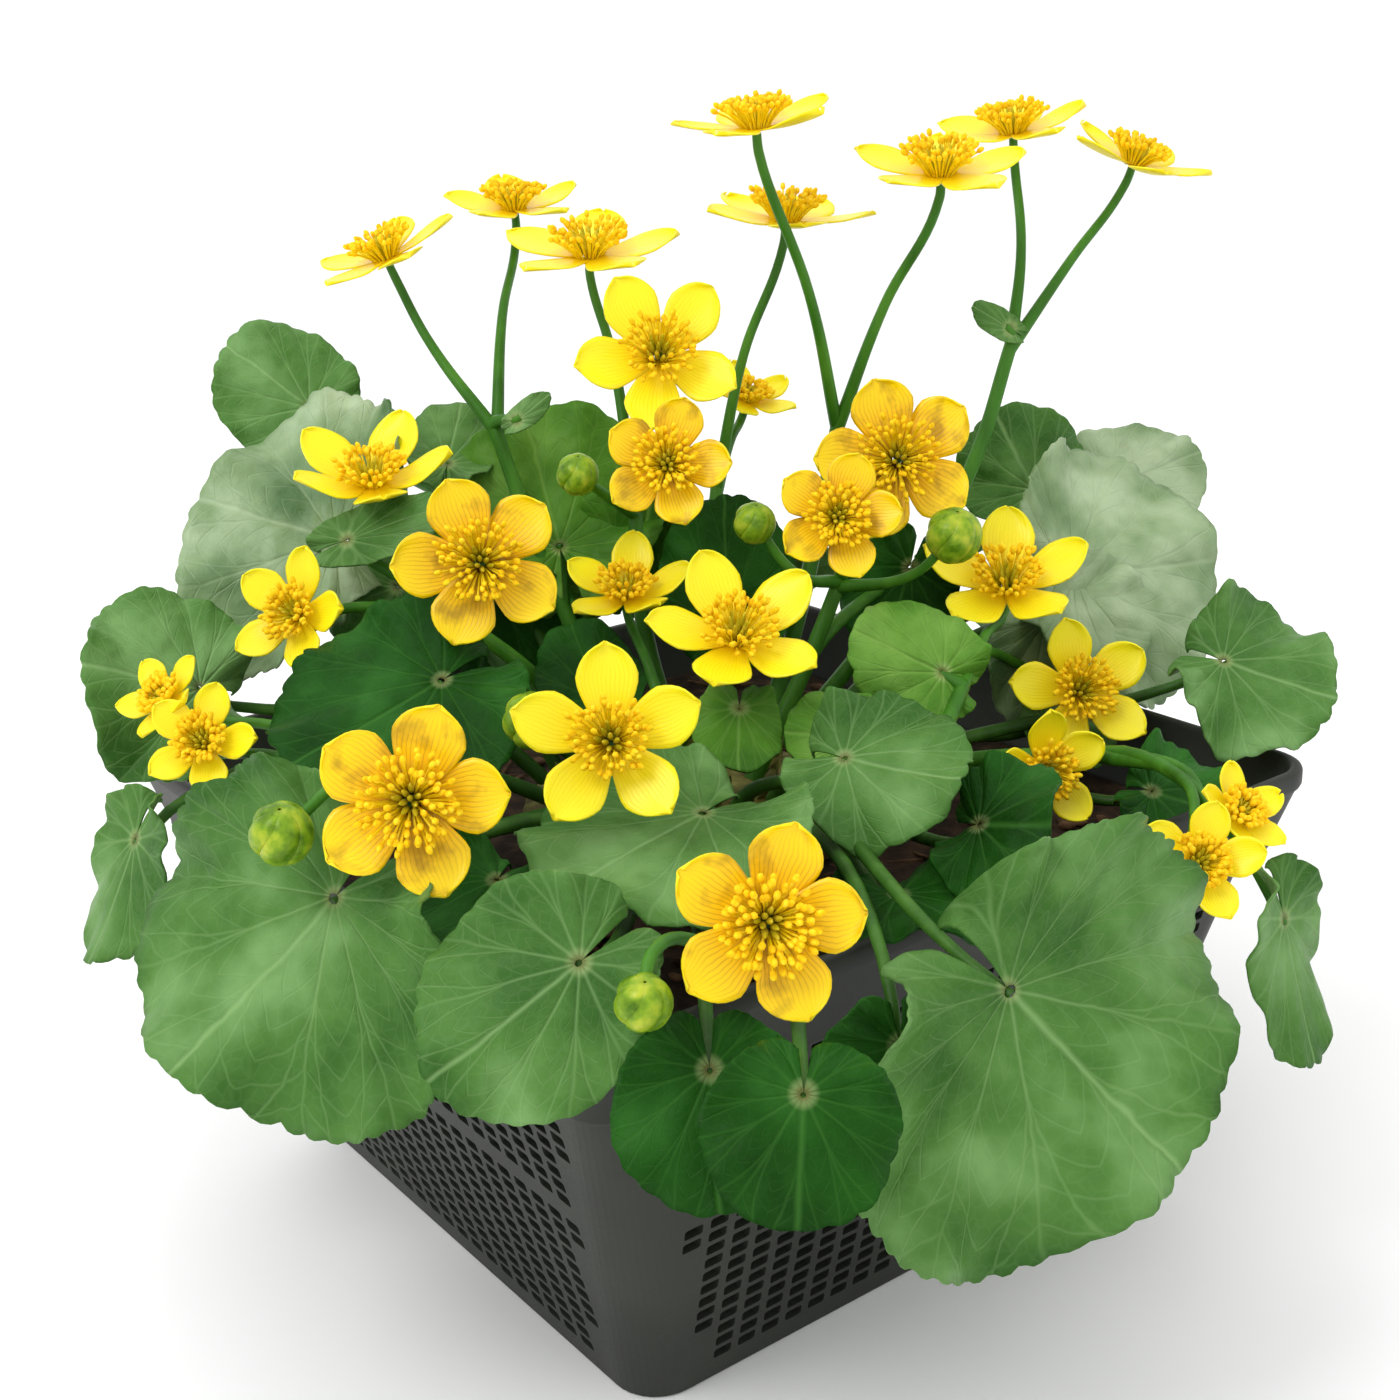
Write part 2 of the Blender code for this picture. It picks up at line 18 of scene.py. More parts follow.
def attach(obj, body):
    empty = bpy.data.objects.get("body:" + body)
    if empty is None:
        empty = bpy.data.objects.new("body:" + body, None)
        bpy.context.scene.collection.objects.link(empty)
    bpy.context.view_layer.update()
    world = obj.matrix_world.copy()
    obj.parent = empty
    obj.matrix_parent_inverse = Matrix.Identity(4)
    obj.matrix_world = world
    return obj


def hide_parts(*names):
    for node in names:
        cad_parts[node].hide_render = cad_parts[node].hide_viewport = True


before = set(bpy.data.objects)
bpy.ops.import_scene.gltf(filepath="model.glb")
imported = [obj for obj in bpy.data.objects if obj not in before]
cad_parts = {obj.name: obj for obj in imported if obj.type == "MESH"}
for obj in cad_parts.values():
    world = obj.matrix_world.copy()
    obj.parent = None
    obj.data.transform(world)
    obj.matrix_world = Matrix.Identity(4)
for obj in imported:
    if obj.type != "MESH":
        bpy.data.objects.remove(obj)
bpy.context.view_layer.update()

LOG = logging.getLogger("marsh_marigold")
MM = 0.001
VIEW_BEARING = math.radians(-36.6)
GOLDEN_ANGLE = math.radians(137.508)

Spot = tuple[float, float, float]
Values = dict[str | int, object]


def place(spot: Spot) -> Vector:
    """Turns a plant position into metres in the frame of the CAD.

    Args:
        spot: right, back and up in millimetres.

    Returns:
        The same point in metres.
    """
    right, back, up = spot
    across, away = math.cos(VIEW_BEARING), math.sin(VIEW_BEARING)
    return MM * Vector((right * across - back * away, right * away + back * across, up))


def heading(way: Spot) -> Vector:
    """Returns the unit vector of a direction given as right, back and up."""
    return place(way).normalized()


def linear(colour: str) -> tuple[float, float, float, float]:
    """Turns an sRGB hex colour into the linear colour that shaders take.

    Args:
        colour: six hex digits, such as "3e7a35".

    Returns:
        Linear red, green and blue, and an alpha of 1.
    """
    shares = [int(colour[i : i + 2], 16) / 255 for i in (0, 2, 4)]
    return (*(((c + 0.055) / 1.055) ** 2.4 if c > 0.04045 else c / 12.92 for c in shares), 1.0)


def add_node(tree: bpy.types.NodeTree, kind: str, settings: Values, inputs: Values) -> bpy.types.Node:
    """Adds one shader node.

    Args:
        tree: the material's node tree.
        kind: Blender's name of the node, without "ShaderNode".
        settings: the node's own properties.
        inputs: a value, or an output socket to link, for each input by name or number.

    Returns:
        The new node.
    """
    made = tree.nodes.new("ShaderNode" + kind)
    for name, value in settings.items():
        setattr(made, name, value)
    for name, value in inputs.items():
        if isinstance(value, bpy.types.NodeSocket):
            tree.links.new(value, made.inputs[name])
        else:
            made.inputs[name].default_value = value
    return made


def ramp(node: bpy.types.Node, stops: dict[float, str]) -> bpy.types.NodeSocket:
    """Sets a colour ramp's stops.

    Args:
        node: the colour ramp.
        stops: an sRGB hex colour for each position from 0 to 1.

    Returns:
        The ramp's colour output.
    """
    elements = node.color_ramp.elements
    while len(elements) < len(stops):
        elements.new(0.5)
    for element, (spot, colour) in zip(elements, stops.items()):
        element.position, element.color = spot, linear(colour)
    return node.outputs["Color"]


@dataclass(frozen=True)
class Finish:
    """A surface finish: what all of them share."""

    name: str
    roughness: float
    ior: float = 1.45
    shine: float = 0.25

    def begin(self) -> tuple[bpy.types.Material, bpy.types.NodeTree, bpy.types.Node]:
        """Makes the material with its shader's own values set.

        Returns:
            The material, its node tree and its Principled shader.
        """
        made = bpy.data.materials.new(self.name)
        made.use_nodes = True
        shader = made.node_tree.nodes["Principled BSDF"]
        shader.inputs["Roughness"].default_value = self.roughness
        shader.inputs["IOR"].default_value = self.ior
        shader.inputs["Specular IOR Level"].default_value = self.shine
        return made, made.node_tree, shader

    def position_mm(self, tree: bpy.types.NodeTree) -> bpy.types.NodeSocket:
        """Returns the surface's own position in millimetres."""
        spot = add_node(tree, "TexCoord", {}, {}).outputs["Object"]
        scale = {"operation": "SCALE"}
        return add_node(tree, "VectorMath", scale, {0: spot, "Scale": 1 / MM}).outputs[0]

    def build(self) -> bpy.types.Material:
        """Makes the material."""
        raise NotImplementedError


@dataclass(frozen=True)
class LeafSkin(Finish):
    """The upper or lower side of a living leaf: a waxy cuticle over green flesh.

    The wax gives a broad satin sheen, and the flesh shows paler veins that fan out from the stalk.
    """

    dark: str = "345f22"
    green: str = "4c7834"
    bloom_and_sheen: str = "6e9758"
    vein: str = "8bb071"
    vein_strength: float = 0.5
    glow: float = 0.06
    vein_mm: float = 0.55
    net_mm: float = 2.4
    side_veins: int = 7
    VEIN_STEP = math.radians(26)
    JOINT = {0.15: "7d7448", 0.35: "a9b87c", 0.8: "86a866"}

    def build(self) -> bpy.types.Material:
        """Makes the material from the blade's own "vein" attribute.

        Its first part counts the veins round the blade, its second is the distance from the
        stalk in millimetres, and its third the share of the way to the margin.

        Returns:
            The material.
        """
        made, tree, shader = self.begin()
        position = self.position_mm(tree)
        parts = add_node(tree, "Attribute", {"attribute_name": "vein"}, {}).outputs["Vector"]
        parts = add_node(tree, "SeparateXYZ", {}, {0: parts}).outputs
        wander = add_node(tree, "TexNoise", {}, {"Vector": position, "Scale": 1 / 9, "Detail": 2.0})
        wander = add_node(tree, "MapRange", {}, {0: wander.outputs[0], 3: -0.09, 4: 0.09})
        count = add_node(tree, "Math", {}, {0: parts[0], 1: wander.outputs[0]}).outputs[0]
        away = add_node(tree, "Math", {"operation": "PINGPONG"}, {0: count, 1: 0.5}).outputs[0]
        reach = add_node(tree, "Math", {"operation": "MULTIPLY"}, {0: parts[1], 1: self.VEIN_STEP})
        reach = reach.outputs[0]
        ribs = self.lines(tree, away, reach, self.vein_mm)
        fading = add_node(tree, "MapRange", {}, {0: parts[2], 1: 0.1, 2: 0.9, 3: 0.8, 4: 0.3})
        ribs = {0: ribs, 1: fading.outputs[0]}
        ribs = add_node(tree, "Math", {"operation": "MULTIPLY"}, ribs).outputs[0]
        middle = add_node(tree, "Math", {"operation": "ABSOLUTE"}, {0: count}).outputs[0]
        midrib = self.lines(tree, middle, reach, self.vein_mm * 1.5)
        spread = {0: parts[2], 1: 0.38, 2: 1.0, 3: 0.0, 4: 0.34}
        spread = add_node(tree, "MapRange", {}, spread).outputs[0]
        fork = add_node(tree, "Math", {"operation": "SUBTRACT"}, {0: away, 1: spread}).outputs[0]
        fork = add_node(tree, "Math", {"operation": "ABSOLUTE"}, {0: fork}).outputs[0]
        forks = self.lines(tree, fork, reach, self.vein_mm * 0.7)
        sides = self.side_lines(tree, away, parts)
        net = add_node(
            tree,
            "TexVoronoi",
            {"feature": "DISTANCE_TO_EDGE"},
            {"Vector": position, "Scale": 1 / self.net_mm},
        ).outputs["Distance"]
        net = add_node(tree, "MapRange", {}, {0: net, 1: 0.0, 2: 0.12, 3: 1.0, 4: 0.0}).outputs[0]
        veins = self.strongest(tree, midrib, ribs, 1.0)
        veins = self.strongest(tree, veins, forks, 0.4)
        veins = self.strongest(tree, veins, sides, 0.3)
        veins = self.strongest(tree, veins, net, 0.1)
        # Mottled tone at random, whose palest stop also stands for patches of painted sheen.
        tone = add_node(tree, "TexNoise", {}, {"Vector": position, "Scale": 1 / 24, "Detail": 3.0})
        tones = ramp(add_node(tree, "ValToRGB", {}, {0: tone.outputs[0]}), self.tones())
        amount = {"operation": "MULTIPLY"}
        amount = add_node(tree, "Math", amount, {0: veins, 1: self.vein_strength}).outputs[0]
        veined = add_node(tree, "Mix", {"data_type": "RGBA"}, {0: amount, 6: tones})
        veined.inputs[7].default_value = linear(self.vein)
        near = add_node(tree, "MapRange", {}, {0: parts[1], 1: 0.0, 2: 5.0}).outputs[0]
        joint = ramp(add_node(tree, "ValToRGB", {}, {0: near}), self.JOINT)
        around = {0: parts[1], 1: 0.8, 2: 2.6, 3: 0.6, 4: 0.0}
        around = add_node(tree, "MapRange", {}, around).outputs[0]
        marked = {0: around, 6: veined.outputs[2], 7: joint}
        marked = add_node(tree, "Mix", {"data_type": "RGBA"}, marked)
        tree.links.new(marked.outputs[2], shader.inputs["Base Color"])
        grain = add_node(tree, "TexNoise", {}, {"Vector": position, "Scale": 1.2, "Detail": 3.0})
        rough = {0: grain.outputs[0], 3: self.roughness - 0.08, 4: self.roughness + 0.12}
        rough = add_node(tree, "MapRange", {}, rough).outputs[0]
        tree.links.new(rough, shader.inputs["Roughness"])
        sunk = {0: veins, 3: 1.0, 4: 0.0}
        height = add_node(tree, "MapRange", {}, sunk).outputs[0]
        bump = {"Height": height, "Strength": 0.5, "Distance": 0.6 * MM}
        bump = add_node(tree, "Bump", {}, bump).outputs[0]
        puckers = {"Vector": position, "Scale": 1 / 11, "Detail": 2.0}
        puckers = add_node(tree, "TexNoise", {}, puckers).outputs[0]
        puckers = {"Height": puckers, "Strength": 0.7, "Distance": 4.0 * MM, "Normal": bump}
        bump = add_node(tree, "Bump", {}, puckers).outputs[0]
        fine = {"Height": grain.outputs[0], "Strength": 0.12, "Distance": 0.2 * MM, "Normal": bump}
        tree.links.new(add_node(tree, "Bump", {}, fine).outputs[0], shader.inputs["Normal"])
        shader.inputs["Subsurface Weight"].default_value = self.glow
        shader.inputs["Subsurface Radius"].default_value = (0.6, 1.0, 0.2)
        shader.inputs["Subsurface Scale"].default_value = 0.6 * MM
        return made

    def tones(self) -> dict[float, str]:
        """Returns the stops of the leaf's mottled green; the palest stop is partly painted sheen."""
        return {0.34: self.dark, 0.5: self.green, 0.66: self.bloom_and_sheen}

    def lines(
        self,
        tree: bpy.types.NodeTree,
        away: bpy.types.NodeSocket,
        reach: bpy.types.NodeSocket,
        width: float,
    ) -> bpy.types.NodeSocket:
        """Draws soft lines where a distance is nought.

        Args:
            tree: the material's node tree.
            away: distance from the nearest line, in steps between veins.
            reach: the length of one step in millimetres.
            width: half the line's width in millimetres.

        Returns:
            1 on a line, falling to 0 beside it.
        """
        gap = {"operation": "MULTIPLY"}
        gap = add_node(tree, "Math", gap, {0: away, 1: reach}).outputs[0]
        soft = {"interpolation_type": "SMOOTHSTEP"}
        return add_node(tree, "MapRange", soft, {0: gap, 1: 0.0, 2: width, 3: 1.0, 4: 0.0}).outputs[0]

    def side_lines(
        self,
        tree: bpy.types.NodeTree,
        away: bpy.types.NodeSocket,
        parts: bpy.types.bpy_prop_collection,
    ) -> bpy.types.NodeSocket:
        """Draws the side veins that leave each main vein at a slant.

        Args:
            tree: the material's node tree.
            away: distance from the nearest main vein, in steps between veins.
            parts: the three parts of the "vein" attribute.

        Returns:
            1 on a side vein, falling to 0 beside it.
        """
        along = {"operation": "MULTIPLY"}
        along = add_node(tree, "Math", along, {0: parts[2], 1: float(self.side_veins)}).outputs[0]
        slant = {"operation": "MULTIPLY_ADD"}
        slant = add_node(tree, "Math", slant, {0: away, 1: -2.6, 2: along}).outputs[0]
        wave = add_node(tree, "Math", {"operation": "PINGPONG"}, {0: slant, 1: 0.5}).outputs[0]
        soft = {"interpolation_type": "SMOOTHSTEP"}
        return add_node(tree, "MapRange", soft, {0: wave, 1: 0.0, 2: 0.09, 3: 1.0, 4: 0.0}).outputs[0]

    def strongest(
        self,
        tree: bpy.types.NodeTree,
        first: bpy.types.NodeSocket,
        second: bpy.types.NodeSocket,
        weight: float,
    ) -> bpy.types.NodeSocket:
        """Returns the larger of one pattern and a weighted second one.

        Args:
            tree: the material's node tree.
            first: the stronger pattern.
            second: the pattern that is weighted.
            weight: its weight.

        Returns:
            The larger value at each point.
        """
        fainter = {"operation": "MULTIPLY"}
        fainter = add_node(tree, "Math", fainter, {0: second, 1: weight}).outputs[0]
        return add_node(tree, "Math", {"operation": "MAXIMUM"}, {0: first, 1: fainter}).outputs[0]


@dataclass(frozen=True)
class SepalSkin(Finish):
    """A petal-like sepal: a thin lacquered yellow skin with fine veins along it.

    The outer cells are smooth enough to shine, and light passes through them.
    """

    tip: str = "fff01c"
    body: str = "fde510"
    root: str = "efc000"
    vein: str = "dca800"
    vein_strength: float = 0.25
    # Painted shade: a dark brown laid over the sepal in noise blotches, standing for cast shadow.
    painted_shade: str = "9a6a00"
    painted_shade_strength: float = 0.0
    veins_across: float = 7.0

    def build(self) -> bpy.types.Material:
        """Makes the material from the sepal's own "sepal" attribute.

        Its first part runs from -1 to 1 across the sepal, its second from 0 at the claw to 1 at
        the tip, and its third is a number of the sepal's own.

        Returns:
            The material.
        """
        made, tree, shader = self.begin()
        position = self.position_mm(tree)
        parts = add_node(tree, "Attribute", {"attribute_name": "sepal"}, {}).outputs["Vector"]
        parts = add_node(tree, "SeparateXYZ", {}, {0: parts}).outputs
        # From claw to tip; where the root colour is dark brown, it is painted shadow of the stamens.
        base = add_node(tree, "ValToRGB", {}, {0: parts[1]})
        base = ramp(base, {0.1: self.root, 0.42: self.body, 0.9: self.tip})
        # Veins along the sepal, fading towards the tip; where their colour is dark brown, they also stand for
        # painted streaks of stamen shadow.
        wobble = add_node(tree, "TexNoise", {}, {"Vector": position, "Scale": 1 / 5, "Detail": 2.0})
        wobble = add_node(tree, "MapRange", {}, {0: wobble.outputs[0], 3: -0.12, 4: 0.12}).outputs[0]
        across = add_node(tree, "Math", {}, {0: parts[0], 1: wobble}).outputs[0]
        rows = {"operation": "MULTIPLY"}
        rows = add_node(tree, "Math", rows, {0: across, 1: self.veins_across}).outputs[0]
        rows = add_node(tree, "Math", {"operation": "PINGPONG"}, {0: rows, 1: 0.5}).outputs[0]
        lines = add_node(tree, "MapRange", {}, {0: rows, 1: 0.0, 2: 0.22, 3: 1.0, 4: 0.0}).outputs[0]
        faint = {0: parts[1], 1: 0.55, 2: 1.0, 3: self.vein_strength, 4: 0.0}
        faint = add_node(tree, "MapRange", {}, faint).outputs[0]
        amount = {"operation": "MULTIPLY"}
        amount = add_node(tree, "Math", amount, {0: lines, 1: faint}).outputs[0]
        veined = add_node(tree, "Mix", {"data_type": "RGBA"}, {0: amount, 6: base})
        veined.inputs[7].default_value = linear(self.vein)
        # Painted shade: noise blotches in the shade colour, standing for shadows cast on the sepal.
        patch = add_node(tree, "TexNoise", {}, {"Vector": position, "Scale": 1 / 6, "Detail": 3.0})
        patch = {0: patch.outputs[0], 1: 0.53, 2: 0.7, 3: 0.0, 4: self.painted_shade_strength}
        patch = add_node(tree, "MapRange", {}, patch).outputs[0]
        shaded = add_node(tree, "Mix", {"data_type": "RGBA"}, {0: patch, 6: veined.outputs[2]})
        shaded.inputs[7].default_value = linear(self.painted_shade)
        tree.links.new(shaded.outputs[2], shader.inputs["Base Color"])
        bump = {"Height": lines, "Strength": 0.25, "Distance": 0.15 * MM}
        bump = add_node(tree, "Bump", {"invert": True}, bump).outputs[0]
        tree.links.new(bump, shader.inputs["Normal"])
        shader.inputs["Subsurface Weight"].default_value = 0.25
        shader.inputs["Subsurface Radius"].default_value = (0.8, 0.8, 0.05)
        shader.inputs["Subsurface Scale"].default_value = 0.8 * MM
        shader.inputs["Coat Weight"].default_value = 0.15
        shader.inputs["Coat Roughness"].default_value = 0.25
        return made


@dataclass(frozen=True)
class Mottled(Finish):
    """A grown or moulded surface whose colour drifts, over fine grain of a real size."""

    low: str = "808080"
    middle: str = "909090"
    high: str = "a0a0a0"
    patch_mm: float = 6.0
    grain_mm: float = 0.6
    relief_mm: float = 0.1
    stretch: float = 1.0
    glow: float = 0.0
    detail: float = 4.0

    def build(self) -> bpy.types.Material:
        """Makes the material from two noises.

        Returns:
            The material.
        """
        made, tree, shader = self.begin()
        position = self.position_mm(tree)
        along = add_node(tree, "Mapping", {}, {0: position, "Scale": (1.0, 1.0, self.stretch)})
        along = along.outputs[0]
        patch = {"Vector": along, "Scale": 1 / self.patch_mm, "Detail": self.detail}
        patch = add_node(tree, "TexNoise", {}, patch).outputs[0]
        stops = {0.32: self.low, 0.5: self.middle, 0.68: self.high}
        colour = ramp(add_node(tree, "ValToRGB", {}, {0: patch}), stops)
        tree.links.new(colour, shader.inputs["Base Color"])
        grain = {"Vector": along, "Scale": 1 / self.grain_mm, "Detail": 3.0}
        grain = add_node(tree, "TexNoise", {}, grain).outputs[0]
        rough = {0: grain, 3: self.roughness - 0.08, 4: min(self.roughness + 0.1, 1.0)}
        tree.links.new(add_node(tree, "MapRange", {}, rough).outputs[0], shader.inputs["Roughness"])
        bump = {"Height": grain, "Strength": 0.5, "Distance": self.relief_mm * MM}
        tree.links.new(add_node(tree, "Bump", {}, bump).outputs[0], shader.inputs["Normal"])
        if self.glow:
            shader.inputs["Subsurface Weight"].default_value = self.glow
            shader.inputs["Subsurface Radius"].default_value = (0.8, 1.0, 0.2)
            shader.inputs["Subsurface Scale"].default_value = 0.6 * MM
        return made


class Palette:
    """Every finish on the plant and its basket, made once."""

    def __init__(self) -> None:
        """Makes the materials."""
        # Waxy cuticle over dark mesophyll: satin, with pale palmate veins.
        self.leaf = LeafSkin("waxy_leaf_upper", 0.45, shine=0.15).build()
        # The same skin with painted shade: deep green, standing for leaves that lie in shadow.
        self.leaf_deep = LeafSkin(
            "shaded_leaf_upper", 0.48, shine=0.1,
            dark="0f3806", green="184a0c", bloom_and_sheen="2c6420", vein="457c30", vein_strength=0.38,
        ).build()
        # Thick grey bloom of wax; its pale grey colours also stand for the sky's sheen on the wax, painted in.
        self.leaf_pale = LeafSkin(
            "glaucous_leaf_upper_painted_sheen", 0.42, shine=0.45,
            dark="456a38", green="7b9668", bloom_and_sheen="a9bd98", vein="a4b992", vein_strength=0.45,
        ).build()
        # Young and yellower, with less wax.
        self.leaf_bright = LeafSkin(
            "young_leaf_upper", 0.46, shine=0.15,
            dark="386818", green="4f8224", bloom_and_sheen="729f42", vein="83ab50", vein_strength=0.4,
        ).build()
        self.leaf_under = LeafSkin(
            "leaf_underside", 0.55, shine=0.15,
            dark="4b733a", green="5f8a48", bloom_and_sheen="749a5c", vein="96b87c", vein_strength=0.6,
        ).build()
        # Ribbed hollow stalk: smooth green skin.
        self.stalk = Mottled(
            "ribbed_stalk", 0.4, low="2f6014", middle="3b731b", high="4f8726",
            patch_mm=9, grain_mm=0.5, relief_mm=0.15, stretch=0.15, glow=0.15,
        ).build()
        self.stalk_dark = Mottled(
            "leaf_stalk", 0.42, low="2a4e14", middle="35611d", high="477427",
            patch_mm=9, grain_mm=0.5, relief_mm=0.15, stretch=0.15, glow=0.1,
        ).build()
        # Lacquered sepals: one golden set with painted shade, whose dark brown claw, brown vein streaks and brown
        # blotches stand for the stamens' shadows in sun, and one lemon yellow.
        self.sepal_gold = SepalSkin(
            "lacquered_golden_sepal_painted_shade", 0.32,
            tip="ffda00", body="f6c200", root="754a00", vein="855600",
            vein_strength=0.4, painted_shade="8a6200", painted_shade_strength=0.6, shine=0.3,
        ).build()
        self.sepal_lemon = SepalSkin("lacquered_lemon_sepal", 0.34, shine=0.3).build()
        self.sepal_back = Mottled(
            "sepal_back", 0.45, low="e6d000", middle="f2dc10", high="f8e640",
            patch_mm=5, grain_mm=0.4, relief_mm=0.05, glow=0.2,
        ).build()
        # Stamens: soft filaments and pollen-dusted anthers, matt and slightly rough.
        self.filament = Mottled(
            "stamen_filament", 0.5, low="f0cc00", middle="f8da10", high="fce640",
            patch_mm=2, grain_mm=0.3, relief_mm=0.03, glow=0.2,
        ).build()
        self.anther = Mottled(
            "pollen_dusted_anther", 0.75, low="e8b400", middle="f8cc08", high="ffe030",
            patch_mm=1, grain_mm=0.15, relief_mm=0.06, glow=0.1,
        ).build()
        self.carpel = Mottled(
            "green_carpel", 0.5, low="a8a010", middle="c4b41c", high="dccb38",
            patch_mm=2, grain_mm=0.3, relief_mm=0.03, glow=0.1,
        ).build()
        # Unopened sepals: green, mottled with yellow-green.
        self.bud = Mottled(
            "bud_skin", 0.3, low="466c0a", middle="7a9c1c", high="b0bc34",
            patch_mm=3.5, grain_mm=0.4, relief_mm=0.05, glow=0.15,
        ).build()
        # Polypropylene, injection moulded with a fine matt texture.
        self.plastic = Mottled(
            "moulded_polypropylene", 0.5, low="252722", middle="2b2d28", high="33352f",
            patch_mm=45, grain_mm=0.5, relief_mm=0.04, detail=2.0, ior=1.49,
        ).build()
        # Loam under bark: matt and crumbly.
        self.loam = Mottled(
            "crumbly_loam", 0.95, low="1f150d", middle="33241a", high="4a382a",
            patch_mm=5, grain_mm=1.2, relief_mm=0.8,
        ).build()
        self.bark = Mottled(
            "shredded_bark", 0.85, low="2c1d12", middle="4b3422", high="7a5c41",
            patch_mm=7, grain_mm=0.8, relief_mm=0.3, stretch=0.5,
        ).build()
        self.sheath = Mottled(
            "dry_leaf_sheath", 0.7, low="4a3a1c", middle="6d6a2e", high="8a8a45",
            patch_mm=5, grain_mm=0.5, relief_mm=0.1, stretch=0.3,
        ).build()
        # Studio floor: plain painted board.
        self.floor = Mottled(
            "painted_studio_board", 0.8, low="fcfcfc", middle="fdfdfd", high="fefefe",
            patch_mm=300, grain_mm=3, relief_mm=0.01,
        ).build()


def new_piece(name: str, data: bpy.types.ID, slot: str, *nodes: str) -> bpy.types.Object:
    """Puts a piece in the scene, riding on the object's one body.

    Args:
        name: the piece's name.
        data: its mesh or curve.
        slot: the name of the record's material slot; not used.
        nodes: the CAD nodes that it stands for.

    Returns:
        The new object.
    """
    made = bpy.data.objects.new(name, data)
    bpy.context.scene.collection.objects.link(made)
    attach(made, "root")
    if nodes:
        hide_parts(*nodes)
    return made


def smooth_mesh(body: bmesh.types.BMesh, name: str, *finishes: bpy.types.Material) -> bpy.types.Mesh:
    """Turns a bmesh into a smooth-shaded mesh and frees it.

    Args:
        body: the faces.
        name: the mesh's name.
        finishes: its material slots, in order.

    Returns:
        The mesh.
    """
    for face in body.faces:
        face.smooth = True
    mesh = bpy.data.meshes.new(name)
    body.to_mesh(mesh)
    body.free()
    for finish in finishes:
        mesh.materials.append(finish)
    return mesh


def grid_faces(body: bmesh.types.BMesh, rows: list[list[bmesh.types.BMVert]], closed: bool = False) -> None:
    """Fills the quads between rows of vertices.

    Args:
        body: where the faces go.
        rows: rows of equally many vertices.
        closed: whether each row is a loop.
    """
    for low, high in zip(rows, rows[1:]):
        for i in range(0 if closed else 1, len(low)):
            body.faces.new((low[i - 1], low[i], high[i], high[i - 1]))


def add_skin(item: bpy.types.Object, thickness: float, offset: float = 0.0, under: int = 0) -> None:
    """Gives an open sheet a thickness.

    Args:
        item: the sheet.
        thickness: in millimetres.
        offset: which way it thickens, from -1 to 1.
        under: how many slots further on the far side's material is.
    """
    step = item.modifiers.new("thickness", "SOLIDIFY")
    step.thickness, step.offset = thickness * MM, offset
    step.material_offset, step.use_even_offset = under, False


class LeafKind(Enum):
    """The colour a leaf takes: mature, young, glaucous with painted sheen, and deep green as painted shade."""

    MATURE = "leaf"
    # Grey bloom of wax, with painted sheen in its pale colours.
    GLAUCOUS = "leaf_pale"
    YOUNG = "leaf_bright"
    # Painted shade: the deep green stands for leaves lying in shadow.
    DEEP = "leaf_deep"


